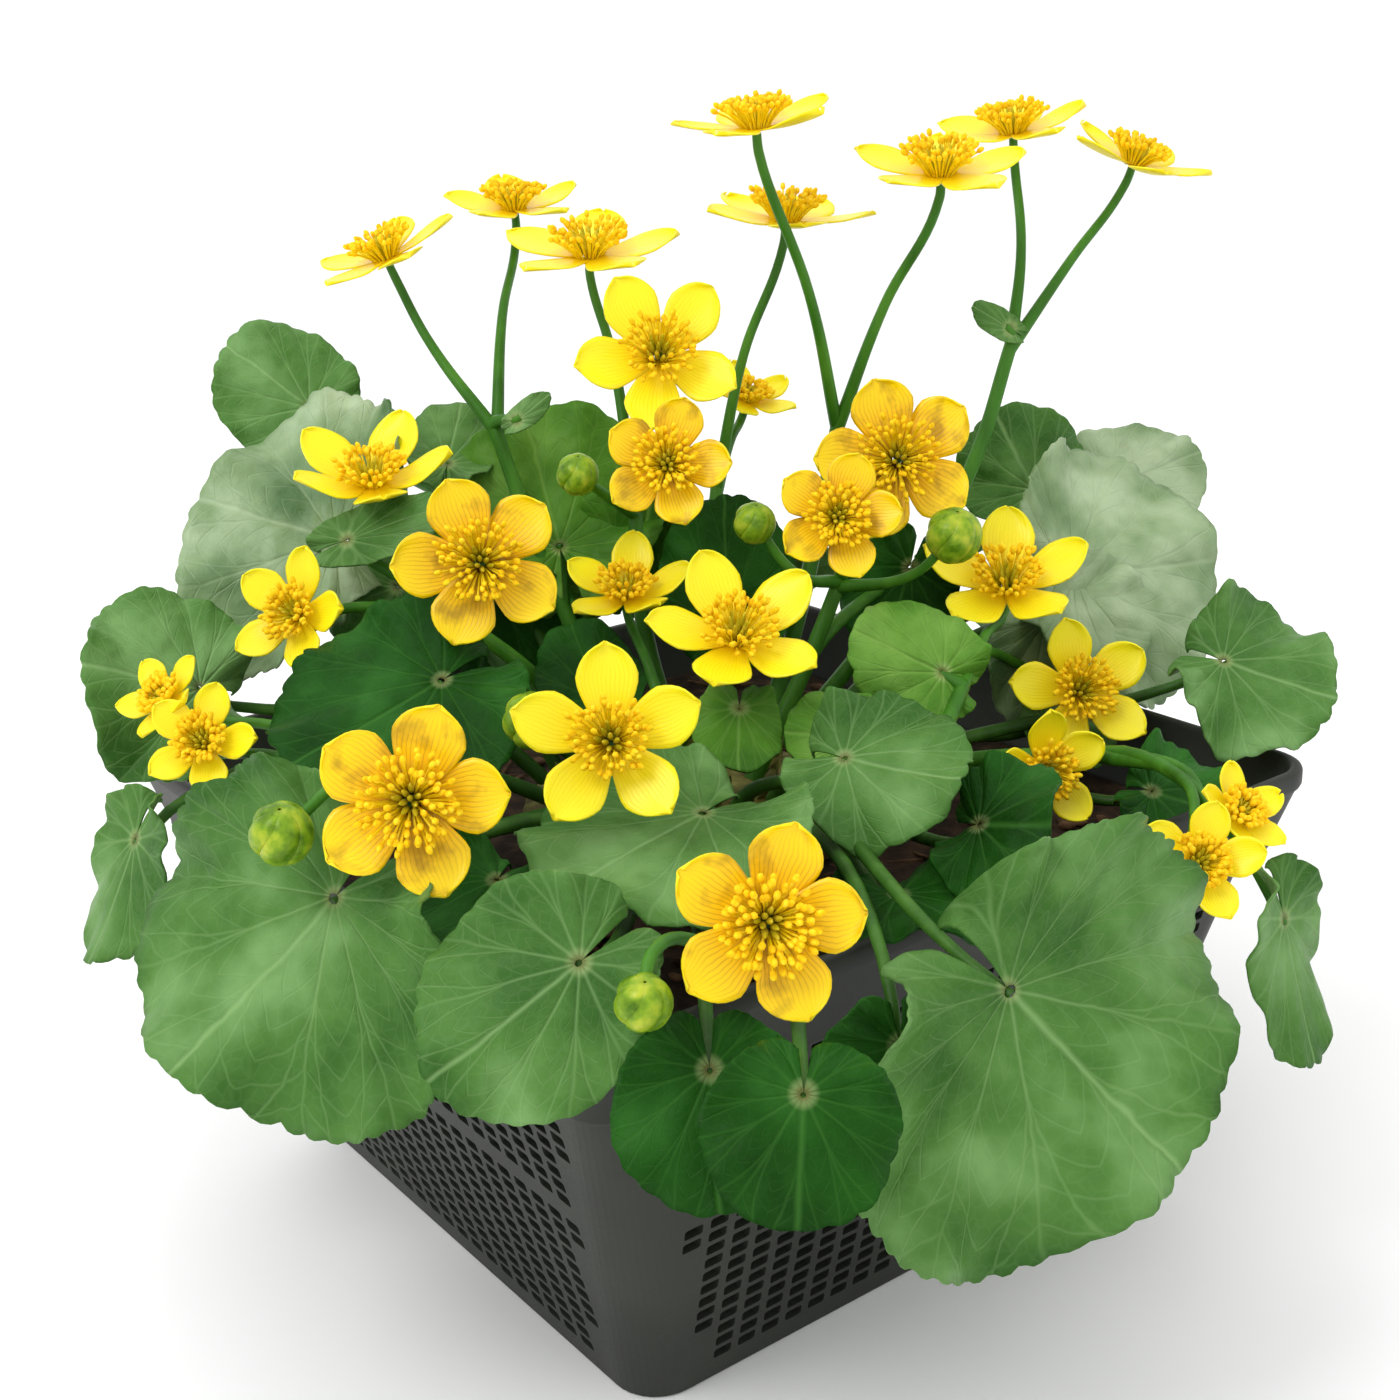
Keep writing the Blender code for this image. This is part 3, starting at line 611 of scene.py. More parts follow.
@dataclass
class Blade:
    """A kidney-shaped leaf blade, toothed round its margin and quilted between its veins."""

    name: str
    base: Spot
    tip: Spot
    facing: Spot
    width: float
    droop: float
    kind: LeafKind = LeafKind.MATURE
    tooth_mm: float = 3.4
    tooth_depth: float = 0.028
    wave: float = 0.034
    sinus: float = 9.0
    fold: float = 0.04
    thickness: float = 0.45
    rows: tuple[float, ...] = (0.03, 0.14, 0.28, 0.42, 0.56, 0.68, 0.79, 0.88, 0.95, 1.0)
    vein_step: float = 26.0
    chance: random.Random = field(init=False)
    margin: list[tuple[float, float]] = field(init=False)

    def __post_init__(self) -> None:
        """Seeds the leaf's own small irregularities from its name and lays out its margin."""
        self.chance = random.Random(self.name)
        self.margin = self.outline()

    def frame(self) -> tuple[Matrix, float]:
        """Returns the blade's axes (midrib, left, upper side) and its length in metres."""
        start, end = place(self.base), place(self.tip)
        along = (end - start).normalized()
        left = heading(self.facing).cross(along).normalized()
        axes = Matrix((along, left, along.cross(left))).transposed().to_4x4()
        return Matrix.Translation(start) @ axes, (end - start).length

    def outline(self) -> list[tuple[float, float]]:
        """Lays out the margin.

        Returns:
            The turn from the tip in degrees, and the reach as a share of the length, for each
            vertex round the blade.
        """
        _, length = self.frame()
        around = 1.45 * math.pi * (0.55 * length / MM + 0.28 * self.width)
        teeth = max(18, round(around / self.tooth_mm))
        steps = teeth * 4
        lean = self.chance.uniform(0, 6)
        shape = []
        for step in range(steps + 1):
            turn = (2 * step / steps - 1) * (180 - self.sinus)
            angle = math.radians(turn)
            reach = 0.68 + 0.28 * math.cos(angle) + 0.04 * math.cos(2 * angle)
            notch = abs(math.sin(math.pi * step * teeth / steps + 0.35 * math.sin(step * 0.05)))
            uneven = 1 + 0.5 * math.sin(step * 0.31 + lean) * math.sin(step * 0.083 + 2 * lean)
            ends = min(1.0, 8 * min(step, steps - step) / steps)
            reach *= 1 + self.tooth_depth * ends * uneven * (notch**0.7 - 0.75)
            reach *= 1 + 0.018 * math.sin(3 * angle + lean) + 0.012 * math.sin(7 * angle - lean)
            lobe = max(0.0, (abs(turn) - 146) / 34)
            reach *= math.sqrt(max(0.04, 1 - 0.88 * lobe**2.2))
            shape.append((turn, reach))
        return shape

    def rise(self, share: float, turn: float, x: float, lean: float) -> float:
        """Gives the height of the surface over the blade's plane.

        Args:
            share: share of the way to the margin.
            turn: degrees from the tip.
            x: distance along the midrib, as a share of the length.
            lean: a phase of this leaf's own.

        Returns:
            Metres along the blade's upper side.
        """
        angle = math.radians(turn)
        width = self.width * MM
        cad = 0.1 * width * share**2 * math.cos(3 * angle) - self.droop * MM * max(x, 0) ** 2
        between = abs(((turn / self.vein_step + 0.5) % 1) - 0.5) * 2
        quilt = 0.016 * width * share * (between**0.6 - 0.6)
        ripple = self.wave * width * share**3
        ripple *= math.sin(5 * angle + 2 * lean) + math.sin(9 * angle + lean)
        ripple += 0.4 * self.wave * width * share**5 * math.sin(19 * angle - 2 * lean)
        return cad + quilt + ripple + self.fold * width * abs(share * math.sin(angle)) ** 1.5

    def mesh(self, palette: Palette) -> bpy.types.Mesh:
        """Builds the blade's sheet with its "vein" attribute.

        Args:
            palette: the finishes.

        Returns:
            The sheet, with its upper side out.
        """
        axes, length = self.frame()
        lean = self.chance.uniform(0, 6)
        body = bmesh.new()
        layer = body.verts.layers.float_vector.new("vein")
        rows = []
        for share in self.rows:
            row = []
            for turn, reach in self.margin:
                angle = math.radians(turn)
                fade = 1 + (reach / self.even_reach(angle) - 1) * max(0.0, (share - 0.7) / 0.3)
                out = share * self.even_reach(angle) * fade
                x, y = out * math.cos(angle), out * math.sin(angle)
                height = self.rise(share, turn, x, lean)
                spot = Vector((x * length, y * self.width * MM / 1.4, height))
                vert = body.verts.new(axes @ spot)
                vert[layer] = (turn / self.vein_step, spot.xy.length / MM, share)
                row.append(vert)
            rows.append(row)
        grid_faces(body, rows[::-1])
        under = palette.leaf_under
        return smooth_mesh(body, self.name, getattr(palette, self.kind.value), under)

    def even_reach(self, angle: float) -> float:
        """Returns the reach of the margin without its teeth, at an angle in radians."""
        return 0.68 + 0.28 * math.cos(angle) + 0.04 * math.cos(2 * angle)

    def build(self, palette: Palette, *nodes: str) -> bpy.types.Object:
        """Makes the blade.

        Args:
            palette: the finishes.
            nodes: the CAD nodes that it stands for.

        Returns:
            The piece.
        """
        made = new_piece(self.name, self.mesh(palette), "leaf_green", *nodes)
        add_skin(made, self.thickness, 0.0, under=1)
        return made


@dataclass
class Stalk:
    """A round stalk along a smooth curve, swelling where it leaves what carries it."""

    name: str
    radii: tuple[float, float]
    sheath: float = 1.0

    def through(self, points: list[Vector], finish: bpy.types.Material) -> bpy.types.Curve:
        """Makes a tube through points.

        Args:
            points: the points, in metres.
            finish: its material.

        Returns:
            The curve.
        """
        path, spline = self.new_path(len(points), finish)
        last = len(points) - 1
        for number, (knot, point) in enumerate(zip(spline.bezier_points, points)):
            knot.co = point
            knot.handle_left_type = knot.handle_right_type = "AUTO"
            share = number / last
            knot.radius = self.radii[0] * (1 - share) + self.radii[1] * share
        spline.bezier_points[0].radius *= self.sheath
        return path

    def between(
        self, start: Vector, leave: Vector, end: Vector, arrive: Vector, finish: bpy.types.Material
    ) -> bpy.types.Curve:
        """Makes a tube between two points with given pulls at its ends.

        Args:
            start: where it starts.
            leave: how it leaves.
            end: where it ends.
            arrive: how it arrives.
            finish: its material.

        Returns:
            The curve.
        """
        path, spline = self.new_path(2, finish)
        for knot, point, pull, radius in zip(
            spline.bezier_points, (start, end), (leave, arrive), self.radii
        ):
            knot.handle_left_type = knot.handle_right_type = "FREE"
            knot.co, knot.radius = point, radius
            knot.handle_left, knot.handle_right = point - pull, point + pull
        return path

    def new_path(
        self, count: int, finish: bpy.types.Material
    ) -> tuple[bpy.types.Curve, bpy.types.Spline]:
        """Starts a round bevelled curve.

        Args:
            count: how many points it has.
            finish: its material.

        Returns:
            The curve and its one spline.
        """
        path = bpy.data.curves.new(self.name, "CURVE")
        path.dimensions, path.bevel_depth, path.bevel_resolution = "3D", MM, 3
        path.use_fill_caps, path.resolution_u = True, 10
        path.materials.append(finish)
        spline = path.splines.new("BEZIER")
        spline.bezier_points.add(count - 1)
        return path, spline


@dataclass
class Leaf:
    """A whole leaf: its blade and the stalk that carries it."""

    blade: Blade
    steepness: float
    squareness: float
    root: tuple[float, float] | None = None
    solid: bool = True
    ROOT_HEIGHT = 93.0
    STALK_RADII = (1.75, 1.05)

    def stalk_from(self, start: Vector, finish: bpy.types.Material, name: str) -> bpy.types.Curve:
        """Makes the stalk.

        Args:
            start: where it starts, in metres.
            finish: its material.
            name: its name.

        Returns:
            The curve.
        """
        axes, _ = self.blade.frame()
        along, upper, end = axes.col[0].xyz, axes.col[2].xyz, axes.translation
        reach = (end - start).length
        level = ((end - start) * Vector((1, 1, 0))).normalized()
        leave = (level * (1 - self.steepness) + Vector((0, 0, self.steepness))).normalized()
        arrive = (along * (1 - self.squareness) + upper * self.squareness).normalized()
        tube = Stalk(name, self.STALK_RADII)
        ahead = end + along * 1.2 * MM - upper * 0.5 * MM
        return tube.between(start, leave * reach * 0.4, ahead, arrive * reach * 0.35, finish)

    def build(self, palette: Palette) -> None:
        """Makes the leaf's two pieces.

        Args:
            palette: the finishes.
        """
        name = self.blade.name
        nodes = (name,) if self.solid else ()
        self.blade.build(palette, *nodes)
        start = place((*self.root, self.ROOT_HEIGHT))
        curve = self.stalk_from(start, palette.stalk_dark, name + "_stalk")
        new_piece(name + "_stalk", curve, "leaf_green", *nodes)


class FlowerKind(Enum):
    """The two looks of an open flower."""

    GOLD = "gold"
    LEMON = "lemon"


@dataclass
class Flower:
    """Five sepals round a crowd of stamens, with a few green carpels in the middle."""

    name: str
    middle: Spot
    facing: Spot
    width: float
    twist: float
    lift: float
    kind: FlowerKind = FlowerKind.LEMON
    SEPAL_MM = 0.35
    ALONG, ACROSS = 13, 10

    def __post_init__(self) -> None:
        """Sets what depends on the flower's kind and seeds its irregularities."""
        self.chance = random.Random(self.name)
        self.reach = self.width / 2
        gold = self.kind is FlowerKind.GOLD
        self.half_width = (0.39 if gold else 0.34) * self.reach
        self.point = 0.0 if gold else 0.15
        self.stamens = 84 if gold else 70
        self.stamen_length = (0.24, 0.42) if gold else (0.24, 0.35)
        self.stamen_lean = (6.0, 50.0) if gold else (8.0, 46.0)

    def axes(self) -> Matrix:
        """Returns the flower's frame, with Z the way it faces."""
        turn = heading(self.facing).to_track_quat("Z", "Y").to_matrix().to_4x4()
        twist = Matrix.Rotation(math.radians(self.twist), 4, "Z")
        return Matrix.Translation(place(self.middle)) @ turn @ twist

    def half(self, along: float) -> float:
        """Returns the sepal's half width in millimetres, a share of the way along it."""
        claw = 1 - 0.82 * (1 - min(along / 0.68, 1.0)) ** 1.2
        end = max(0.0, (along - 0.5) / 0.5)
        rounded = math.sqrt(max(0.0, 1 - end**2.8))
        pointed = 1 - end**1.5
        return self.half_width * claw * (rounded * (1 - self.point) + pointed * self.point)

    def sepals(self, finishes: tuple[bpy.types.Material, ...]) -> bpy.types.Mesh:
        """Builds the five sepals as open sheets with their "sepal" attribute.

        Args:
            finishes: the material of the inner side and of the back.

        Returns:
            The mesh.
        """
        axes = self.axes()
        body = bmesh.new()
        layer = body.verts.layers.float_vector.new("sepal")
        for number in range(5):
            turn = Matrix.Rotation(math.radians(72 * number + self.chance.uniform(-4, 4)), 4, "Z")
            length = self.reach * self.chance.uniform(0.96, 1.03)
            lift = self.lift * self.chance.uniform(0.7, 1.3)
            cup = self.chance.uniform(0.5, 1.2)
            roll = self.chance.uniform(-0.12, 0.12)
            layered = 0.35 * ((number * 2) % 5) / 4
            rows = []
            for i in range(self.ALONG + 1):
                along = 0.06 + 0.94 * math.sin(math.pi / 2 * i / self.ALONG)
                row = []
                for j in range(self.ACROSS + 1):
                    side = 2 * j / self.ACROSS - 1
                    across = self.half(min(along, 0.9985)) * side
                    up = lift * along**2 + cup * 0.9 * side**2 * along
                    up += roll * across + layered * (1 - along)
                    up += 0.35 * math.sin(5 * along + 3 * side + number) * along * abs(side)
                    up -= 0.35 * math.exp(-((side / 0.16) ** 2)) * along * (1 - along)
                    back = 0.05 * self.reach * side**2 * along
                    vert = body.verts.new(
                        axes @ turn @ (MM * Vector((length * along - back, across, up)))
                    )
                    vert[layer] = (side, along, number)
                    row.append(vert)
                rows.append(row)
            grid_faces(body, rows)
        for face in body.faces:
            face.normal_flip()
        body.normal_update()
        return smooth_mesh(body, self.name, *finishes)

    def add_stamen(self, body: bmesh.types.BMesh, axes: Matrix, rank: float, turn: float) -> None:
        """Adds one stamen: a thin bent filament with a clubbed anther.

        Args:
            body: where it goes.
            axes: the flower's frame.
            rank: 0 at the middle of the crowd, 1 at its edge.
            turn: its bearing round the flower, in radians.
        """
        low, high = self.stamen_length
        length = self.reach * (low + (high - low) * rank) * self.chance.uniform(0.85, 1.12)
        first, last = self.stamen_lean
        lean = math.radians(first + (last - first) * rank + self.chance.uniform(-9, 9))
        turn += self.chance.uniform(-0.12, 0.12)
        out = Vector((math.cos(turn), math.sin(turn), 0))
        root = out * (0.05 + 0.09 * rank) * self.reach
        path = [root]
        steps = 3
        for step in range(1, steps + 1):
            bend = lean * (0.6 + 0.5 * step / steps)
            way = out * math.sin(bend) + Vector((0, 0, math.cos(bend)))
            path.append(path[-1] + way * length / steps)
        way = (path[-1] - path[-2]).normalized()
        side = way.cross(Vector((-out.y, out.x, 0))).normalized()
        flat = way.cross(side)
        rings = []
        for spot, radius in zip(path, (0.26, 0.22, 0.2, 0.24)):
            rings.append(self.ring(body, axes, spot, side, flat, radius, 4))
        grid_faces(body, rings, closed=True)
        anther = 1.7 * self.chance.uniform(0.85, 1.2)
        rings = []
        for share, radius in ((-0.05, 0.16), (0.2, 0.58), (0.55, 0.68), (0.85, 0.5), (1.0, 0.1)):
            spot = path[-1] + way * anther * share
            rings.append(self.ring(body, axes, spot, side, flat, radius * 0.92, 6))
        before = len(body.faces)
        grid_faces(body, rings, closed=True)
        body.faces.new(rings[-1])
        body.faces.ensure_lookup_table()
        for face in body.faces[before:]:
            face.material_index = 1

    def ring(
        self,
        body: bmesh.types.BMesh,
        axes: Matrix,
        spot: Vector,
        side: Vector,
        flat: Vector,
        radius: float,
        corners: int,
    ) -> list[bmesh.types.BMVert]:
        """Adds a loop of vertices round a point.

        Args:
            body: where they go.
            axes: the flower's frame.
            spot: the point, in millimetres in that frame.
            side: one direction across.
            flat: the other direction across.
            radius: in millimetres.
            corners: how many vertices.

        Returns:
            The vertices.
        """
        loop = []
        for corner in range(corners):
            angle = 2 * math.pi * corner / corners
            offset = (side * math.cos(angle) + flat * math.sin(angle)) * radius
            loop.append(body.verts.new(axes @ (MM * (spot + offset))))
        return loop

    def heart(self, palette: Palette) -> bpy.types.Mesh:
        """Builds the stamens and carpels.

        Args:
            palette: the finishes.

        Returns:
            The mesh.
        """
        axes = self.axes()
        body = bmesh.new()
        for number in range(self.stamens):
            rank = math.sqrt((number + 0.5) / self.stamens)
            self.add_stamen(body, axes, 0.25 + 0.75 * rank, number * GOLDEN_ANGLE)
        before = len(body.faces)
        for number in range(9):
            rank = 0.9 * math.sqrt((number + 0.5) / 9)
            turn = number * GOLDEN_ANGLE + 1
            out = Vector((math.cos(turn), math.sin(turn), 0))
            root = out * 0.1 * self.reach * rank
            way = (out * 0.35 * rank + Vector((0, 0, 1))).normalized()
            side = way.cross(Vector((-out.y, out.x, 0))).normalized()
            flat = way.cross(side)
            rings = []
            tall = 0.3 * self.reach
            for share, radius in ((0, 0.3), (0.3, 0.62), (0.65, 0.5), (0.9, 0.28), (1, 0.1)):
                rings.append(self.ring(body, axes, root + way * tall * share, side, flat, radius, 7))
            grid_faces(body, rings, closed=True)
            body.faces.new(rings[-1])
        body.faces.ensure_lookup_table()
        for face in body.faces[before:]:
            face.material_index = 2
        bmesh.ops.recalc_face_normals(body, faces=body.faces)
        finishes = (palette.filament, palette.anther, palette.carpel)
        return smooth_mesh(body, self.name + "_heart", *finishes)

    def build(self, palette: Palette, node: str) -> None:
        """Makes the flower's two pieces.

        Args:
            palette: the finishes.
            node: the CAD node that they stand for.
        """
        gold = self.kind is FlowerKind.GOLD
        front = palette.sepal_gold if gold else palette.sepal_lemon
        made = new_piece(
            self.name, self.sepals((front, palette.sepal_back)), "sepal_yellow", node
        )
        add_skin(made, self.SEPAL_MM, 0.0, under=1)
        new_piece(self.name + "_heart", self.heart(palette), "sepal_yellow", node)


@dataclass
class Bud:
    """A round green bud: five sepals wrapped over each other."""

    name: str
    middle: Spot
    width: float
    lean: Spot = (0.1, -0.35, 1.0)
    SEAMS = 5
    AROUND, UP = 16, 14

    def mesh(self, palette: Palette) -> bpy.types.Mesh:
        """Builds the wrapped sepals as closed-over shells.

        Args:
            palette: the finishes.

        Returns:
            The mesh.
        """
        axes = Matrix.Translation(place(self.middle))
        axes = axes @ heading(self.lean).to_track_quat("Z", "Y").to_matrix().to_4x4()
        body = bmesh.new()
        radius = self.width / 2
        for number in range(self.SEAMS):
            rows = []
            for i in range(self.UP + 1):
                polar = math.pi * (0.02 + 0.96 * i / self.UP)
                row = []
                for j in range(self.AROUND + 1):
                    share = j / self.AROUND
                    turn = 2 * math.pi / self.SEAMS * (number + 1.12 * share)
                    turn += 0.6 * math.cos(polar)
                    swell = 0.83 + 0.03 * share + 0.17 * math.sin(math.pi * share) ** 0.6
                    out = radius * swell * math.sin(polar)
                    up = radius * 1.02 * math.cos(polar) * (1 - 0.04 * math.cos(polar))
                    spot = Vector((out * math.cos(turn), out * math.sin(turn), up))
                    row.append(body.verts.new(axes @ (MM * spot)))
                rows.append(row)
            grid_faces(body, rows)
        bmesh.ops.recalc_face_normals(body, faces=body.faces)
        return smooth_mesh(body, self.name, palette.bud)

    def build(self, palette: Palette, node: str) -> None:
        """Makes the bud.

        Args:
            palette: the finishes.
            node: the CAD stem that it grows on.
        """
        made = new_piece(self.name, self.mesh(palette), "leaf_green", node)
        add_skin(made, 0.3, -1.0)


@dataclass
class Basket:
    """A square pond basket with finely perforated, tapering walls and a plain collar."""

    rim_side: float = 190
    foot_side: float = 137
    height: float = 98
    collar_height: float = 19
    collar_step: float = 3
    wall: float = 2.0
    corner_radius: float = 10
    corner_steps: int = 10
    pitch: float = 6.0
    row_pitch: float = 3.35
    first_row: float = 4.5
    rows: int = 22
    plain_row: int = 12
    hole_width: float = 4.2
    hole_height: float = 2.3
    hole_shape: tuple[tuple[float, float], ...] = (
        (-1, -0.7), (-0.8, -1), (0.8, -1), (1, -0.7), (1, 0.7), (0.8, 1), (-0.8, 1), (-1, 0.7),
    )

    def side_at(self, height: float) -> float:
        """Returns the outside width of the tapering wall at a height, in millimetres."""
        top = self.rim_side - 2 * self.collar_step
        return self.foot_side + (top - self.foot_side) * height / self.height

    def build(self, palette: Palette) -> None:
        """Makes the walls, corners, floor and collar.

        Args:
            palette: the finishes.
        """
        body = bmesh.new()
        for side in range(4):
            self.add_wall(body, Matrix.Rotation(math.radians(90 * side), 4, "Z"))
            self.add_corner(body, side)
        self.add_floor(body)
        bmesh.ops.remove_doubles(body, verts=body.verts, dist=0.02 * MM)
        bmesh.ops.recalc_face_normals(body, faces=body.faces)
        mesh = bpy.data.meshes.new("basket_walls")
        body.to_mesh(mesh)
        body.free()
        mesh.materials.append(palette.plastic)
        walls = new_piece("basket_walls", mesh, "basket_plastic", "basket")
        add_skin(walls, self.wall, -1.0)
        collar = self.collar_mesh(palette.plastic)
        new_piece("basket_collar", collar, "basket_plastic", "basket")

    def flat_at(self, height: float) -> float:
        """Returns half the width of the wall's flat part at a height, in millimetres."""
        return self.side_at(height) / 2 - self.corner_radius

    def add_wall(self, body: bmesh.types.BMesh, turn: Matrix) -> None:
        """Adds one perforated wall.

        Args:
            body: where it goes.
            turn: which side of the basket it is on.
        """
        top = self.height - self.collar_height
        levels = [0.0] + [self.first_row + self.row_pitch * i for i in range(self.rows + 1)]
        levels.append(top)
        seen: dict[tuple[float, float], bmesh.types.BMVert] = {}

        def vert(x: float, z: float) -> bmesh.types.BMVert:
            """Returns the wall's vertex at a place, adding it the first time."""
            key = (round(x, 3), round(z, 3))
            if key not in seen:
                spot = Vector((x, -self.side_at(z) / 2, z))
                seen[key] = body.verts.new(turn @ (MM * spot))
            return seen[key]

        def cells_at(low: float, high: float) -> int:
            """Returns how many holes fit each side of the middle between two heights."""
            return int((self.flat_at(min(low, high)) - 1.2) // self.pitch)

        counts = [cells_at(low, high) for low, high in zip(levels, levels[1:])]
        for row, (low, high) in enumerate(zip(levels, levels[1:])):
            count = counts[row]
            pierced = 0 < row <= self.rows and row - 1 != self.plain_row
            for cell in range(-count, count):
                left, right = cell * self.pitch, (cell + 1) * self.pitch
                if pierced:
                    self.add_cell(body, vert, left, right, low, high)
                else:
                    corners = ((left, low), (right, low), (right, high), (left, high))
                    body.faces.new([vert(*corner) for corner in corners])
            above = counts[row + 1] if row + 1 < len(counts) else count
            for way in (-1, 1):
                inner = count * self.pitch * way
                loop = [(inner, low), (self.flat_at(low) * way, low)]
                loop.append((self.flat_at(high) * way, high))
                loop += [(cell * self.pitch * way, high) for cell in range(above, count - 1, -1)]
                body.faces.new([vert(*corner) for corner in loop])

    def add_cell(
        self,
        body: bmesh.types.BMesh,
        vert: object,
        left: float,
        right: float,
        low: float,
        high: float,
    ) -> None:
        """Adds the plastic round one hole.

        Args:
            body: where it goes.
            vert: the wall's own maker of vertices.
            left: the cell's left side, in millimetres, and so on round.
            right: its right side.
            low: its bottom.
            high: its top.
        """
        x, z = (left + right) / 2, (low + high) / 2
        hole = [
            vert(x + a * self.hole_width / 2, z + b * self.hole_height / 2)
            for a, b in self.hole_shape
        ]
        corners = [vert(left, low), vert(right, low), vert(right, high), vert(left, high)]
        for side in range(4):
            first, second = corners[side], corners[(side + 1) % 4]
            a, b, c = hole[(2 * side + 1) % 8], hole[(2 * side + 2) % 8], hole[(2 * side) % 8]
            body.faces.new((first, second, b, a))
            body.faces.new((first, a, c))

    def add_corner(self, body: bmesh.types.BMesh, side: int) -> None:
        """Adds one plain rounded corner column.

        Args:
            body: where it goes.
            side: the number of the corner.
        """
        top = self.height - self.collar_height
        levels = [0.0] + [self.first_row + self.row_pitch * i for i in range(self.rows + 1)]
        rows = []
        for level in levels + [top]:
            reach = self.side_at(level) / 2 - self.corner_radius
            row = []
            for step in range(self.corner_steps + 1):
                angle = math.radians(90 * (side + step / self.corner_steps))
                middle = math.radians(90 * side + 45)
                x = reach * round(math.sqrt(2) * math.cos(middle))
                y = reach * round(math.sqrt(2) * math.sin(middle))
                x += self.corner_radius * math.cos(angle)
                y += self.corner_radius * math.sin(angle)
                row.append(body.verts.new(MM * Vector((x, y, level))))
            rows.append(row)
        grid_faces(body, rows)

    def add_floor(self, body: bmesh.types.BMesh) -> None:
        """Adds the floor as one sheet inside the foot's edge.

        Args:
            body: where it goes.
        """
        body.faces.new([body.verts.new(spot) for spot in self.square(self.foot_side, 0.0)])

    def square(self, side: float, height: float, inset: float = 0.0) -> list[Vector]:
        """Lays out points round a square with rounded corners.

        Args:
            side: its width in millimetres.
            height: its height.
            inset: how much smaller the corners' radius is than the basket's own.

        Returns:
            The points in metres.
        """
        radius = self.corner_radius - inset
        reach = side / 2 - radius
        points = []
        for corner in range(4):
            middle = math.radians(90 * corner + 45)
            x = reach * round(math.sqrt(2) * math.cos(middle))
            y = reach * round(math.sqrt(2) * math.sin(middle))
            for step in range(self.corner_steps + 1):
                angle = math.radians(90 * (corner + step / self.corner_steps))
                offset = Vector((math.cos(angle), math.sin(angle), 0)) * radius
                points.append(MM * (Vector((x, y, height)) + offset))
        return points

    def collar_mesh(self, finish: bpy.types.Material) -> bpy.types.Mesh:
        """Builds the collar: a flared band with a rounded lip and a small step under it.

        Args:
            finish: its material.

        Returns:
            The mesh.
        """
        low = self.height - self.collar_height
        inner = self.side_at(low)
        outer = inner + 2 * self.collar_step
        rim, wall = self.rim_side, self.wall
        profile = (
            (inner - 2 * wall, low + 0.5), (inner - 1.0, low), (outer - 1.6, low),
            (outer - 0.4, low + 0.3), (outer, low + 1.0), (outer + 0.1, low + 2.2),
            (rim - 1.9, self.height - 5.2), (rim - 0.6, self.height - 4.4),
            (rim, self.height - 3.6), (rim, self.height - 1.0), (rim - 0.5, self.height - 0.3),
            (rim - 1.4, self.height), (rim - 2 * wall + 0.6, self.height),
            (rim - 2 * wall - 0.2, self.height - 0.4), (rim - 2 * wall - 0.6, self.height - 1.4),
            (inner - 2 * wall + 2 * self.collar_step, low + 2.4),
        )
        body = bmesh.new()
        loops = []
        for side, height in profile:
            inset = max(0.0, (rim - side) / 2 * 0.35)
            loops.append([body.verts.new(p) for p in self.square(side, height, min(inset, 3.0))])
        grid_faces(body, loops + [loops[0]], closed=True)
        bmesh.ops.recalc_face_normals(body, faces=body.faces)
        mesh = smooth_mesh(body, "basket_collar", finish)
        return mesh


